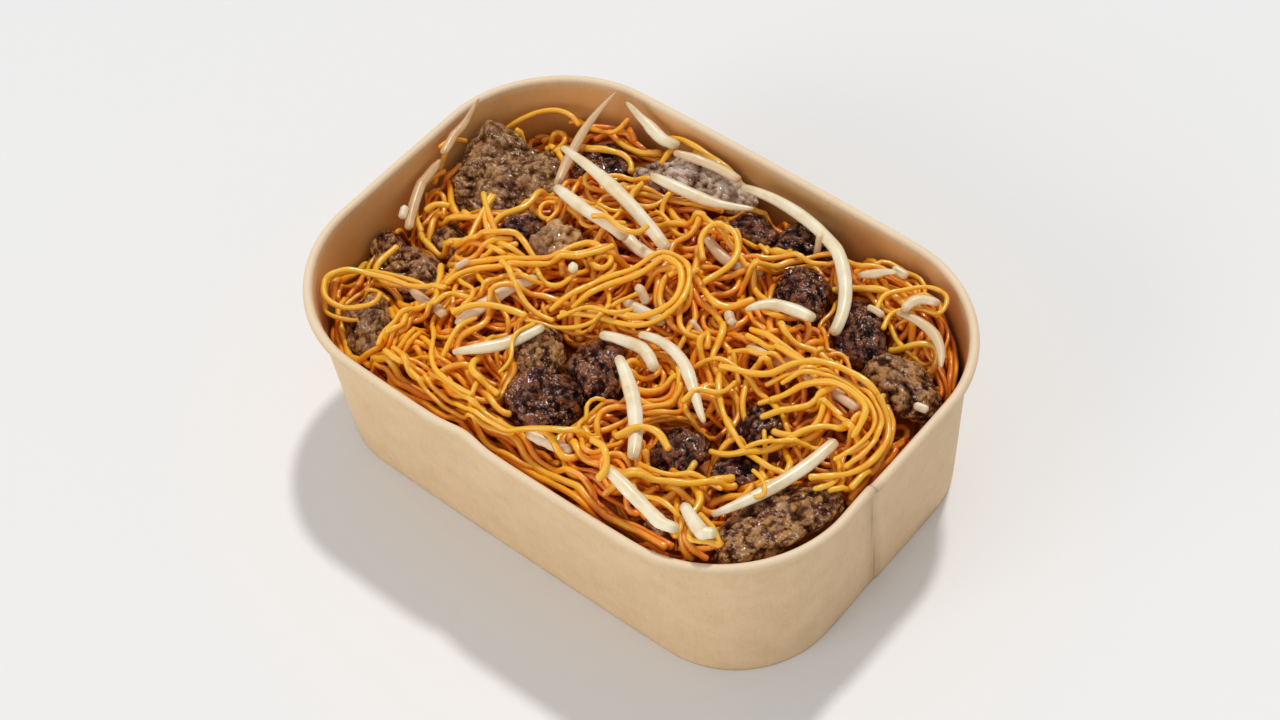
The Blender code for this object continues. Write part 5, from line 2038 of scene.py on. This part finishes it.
@dataclass
class Studio:
    """A plain pale floor, soft light from high behind and a camera at the photograph's angle."""

    floor_half: float = 4000.0
    camera_place: tuple[float, float, float] = (298.36, -304.35, 563.57)
    camera_right: tuple[float, float, float] = (0.76931, 0.63524, -0.06813)
    camera_up: tuple[float, float, float] = (-0.46613, 0.63101, 0.62012)
    camera_back: tuple[float, float, float] = (0.43691, -0.4453, 0.78155)
    lens: float = 71.67
    sun_way: tuple[float, float, float] = (8.0, -26.0, -54.0)
    sun_strength: float = 1.4
    sun_angle: float = 4.5
    sky: float = 0.5
    fill_power: float = 42.0

    def floor(self) -> None:
        """A flat pale sheet with a faint eggshell surface."""
        half = self.floor_half * MM
        mesh = bpy.data.meshes.new("floor")
        corners = [(-half, -half, 0), (half, -half, 0), (half, half, 0), (-half, half, 0)]
        mesh.from_pydata(corners, [], [(0, 1, 2, 3)])
        paint = Paint("pale_floor")
        mesh.materials.append(paint.finish(Base_Color=(0.86, 0.86, 0.865), Roughness=0.6))
        sheet = bpy.data.objects.new("floor", mesh)
        bpy.context.scene.collection.objects.link(sheet)

    def camera(self) -> None:
        """The camera that the bowl's outline in the photograph was fitted with."""
        data = bpy.data.cameras.new("camera")
        data.lens = self.lens
        data.sensor_width = 36.0
        data.clip_start, data.clip_end = 0.01, 50.0
        eye = bpy.data.objects.new("camera", data)
        turn = Matrix((self.camera_right, self.camera_up, self.camera_back)).transposed()
        eye.matrix_world = Matrix.Translation([value * MM for value in self.camera_place]) @ turn.to_4x4()
        bpy.context.scene.collection.objects.link(eye)
        bpy.context.scene.camera = eye

    def lamp(
        self, name: str, kind: str, place: Place, target: Place, energy: float, size: float, colour: Colour
    ) -> None:
        """Add a lamp that looks at a target.

        Args:
            name: The lamp's name.
            kind: SUN or AREA.
            place: Where it stands, in metres.
            target: Where it looks, in metres.
            energy: Its strength.
            size: The sun's angle in degrees, or the area's side in metres.
            colour: Its colour.
        """
        data = bpy.data.lights.new(name, kind)
        data.energy = energy
        data.color = colour
        if kind == "SUN":
            data.angle = math.radians(size)
        else:
            data.size = size
        lamp = bpy.data.objects.new(name, data)
        away = Matrix.Translation(place).to_translation() - Matrix.Translation(target).to_translation()
        lamp.matrix_world = Matrix.Translation(place) @ away.to_track_quat("Z", "Y").to_matrix().to_4x4()
        bpy.context.scene.collection.objects.link(lamp)

    def lights(self) -> None:
        """A small high key from behind, a wide fill from the camera's left, and an even pale sky."""
        back = tuple(-value / 54.0 for value in self.sun_way)
        self.lamp("key", "SUN", back, (0, 0, 0), self.sun_strength, self.sun_angle, (1.0, 0.98, 0.95))
        self.lamp("fill", "AREA", (-0.9, -3.4, 1.5), (0, 0, 0.03), self.fill_power, 2.4, (1.0, 0.99, 0.98))
        world = bpy.data.worlds.new("studio")
        world.use_nodes = True
        world.node_tree.nodes["Background"].inputs["Color"].default_value = (0.98, 0.99, 1.0, 1.0)
        world.node_tree.nodes["Background"].inputs["Strength"].default_value = self.sky
        bpy.context.scene.world = world
        bpy.context.scene.view_settings.view_transform = "Standard"

    def build(self) -> None:
        """Set up the floor, the camera and the lights."""
        self.floor()
        self.camera()
        self.lights()


def main() -> None:
    """Build every sub-assembly in order: studio, bowl, noodles with beef and sprouts among them."""
    logging.basicConfig(level=logging.INFO, format="%(name)s %(message)s")
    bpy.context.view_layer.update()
    Studio().build()
    bowl = Bowl()
    bowl.wall()
    bowl.board(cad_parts["bowl_base"])
    relief = Relief(bowl.form)
    noodles = Noodles(bowl.form, HeapForm(), relief)
    noodles.start()
    noodles.core()
    beef = Beef(bowl.form)
    meat = beef.shells()
    bare = relief.height.copy()
    for shell in meat.values():
        relief.stamp_surface(shell.points)
    covered = relief.height > noodles.target - 1.5
    meat_top = np.where(relief.height > bare, relief.height, NO_GROUND)
    relief.height = bare
    paths = noodles.walk(np.random.default_rng(SEED), 0.3)
    curls = noodles.walk(np.random.default_rng(SEED + 1), 1.0)
    inside = bowl.form.depth(relief.x, relief.y, noodles.target)[0]
    blocked = covered | (inside < 1.0)
    under = noodles.fill(paths, blocked, UNDER, SEED + 1)
    middle = noodles.fill(curls, blocked, MIDDLE, SEED + 2)
    sprouts = Sprouts(bowl.form, relief)
    shoot_finish = sprouts.finish()
    relief.height = np.maximum(relief.height, meat_top)
    sprouts.build(True, shoot_finish)
    upper = noodles.fill(curls, blocked, UPPER, SEED + 3)
    heroes = noodles.fill(curls, blocked, LOOSE, SEED + 5)
    heroes += noodles.heroes(SEED + 4)
    counts = (len(under), len(middle), len(upper), len(heroes))
    log.info("strands: %d under, %d middle, %d upper, %d on top", *counts)
    sprouts.build(False, shoot_finish)
    heroes += noodles.crossings(SEED + 6)
    sprouts.crumbs(shoot_finish)
    noodles.soak_shade(under + middle + upper + heroes)
    golden = GOLDEN.build()
    # The strands under the rest take the darker copy: painted shade.
    make_piece("noodles_under", join_shells(under), DARK.build(), Slot.NOODLE, ("noodle_heap",))
    make_piece("noodles_amber", join_shells(middle[::2]), AMBER.build(), Slot.NOODLE, ("noodle_heap",))
    make_piece("noodles_golden", join_shells(middle[1::2] + upper), golden, Slot.NOODLE, ("noodle_heap",))
    make_piece("noodles_top", join_shells(heroes), golden, Slot.NOODLE, ("noodle_heap",))
    beef.build(meat)


if __name__ == "__main__":
    main()
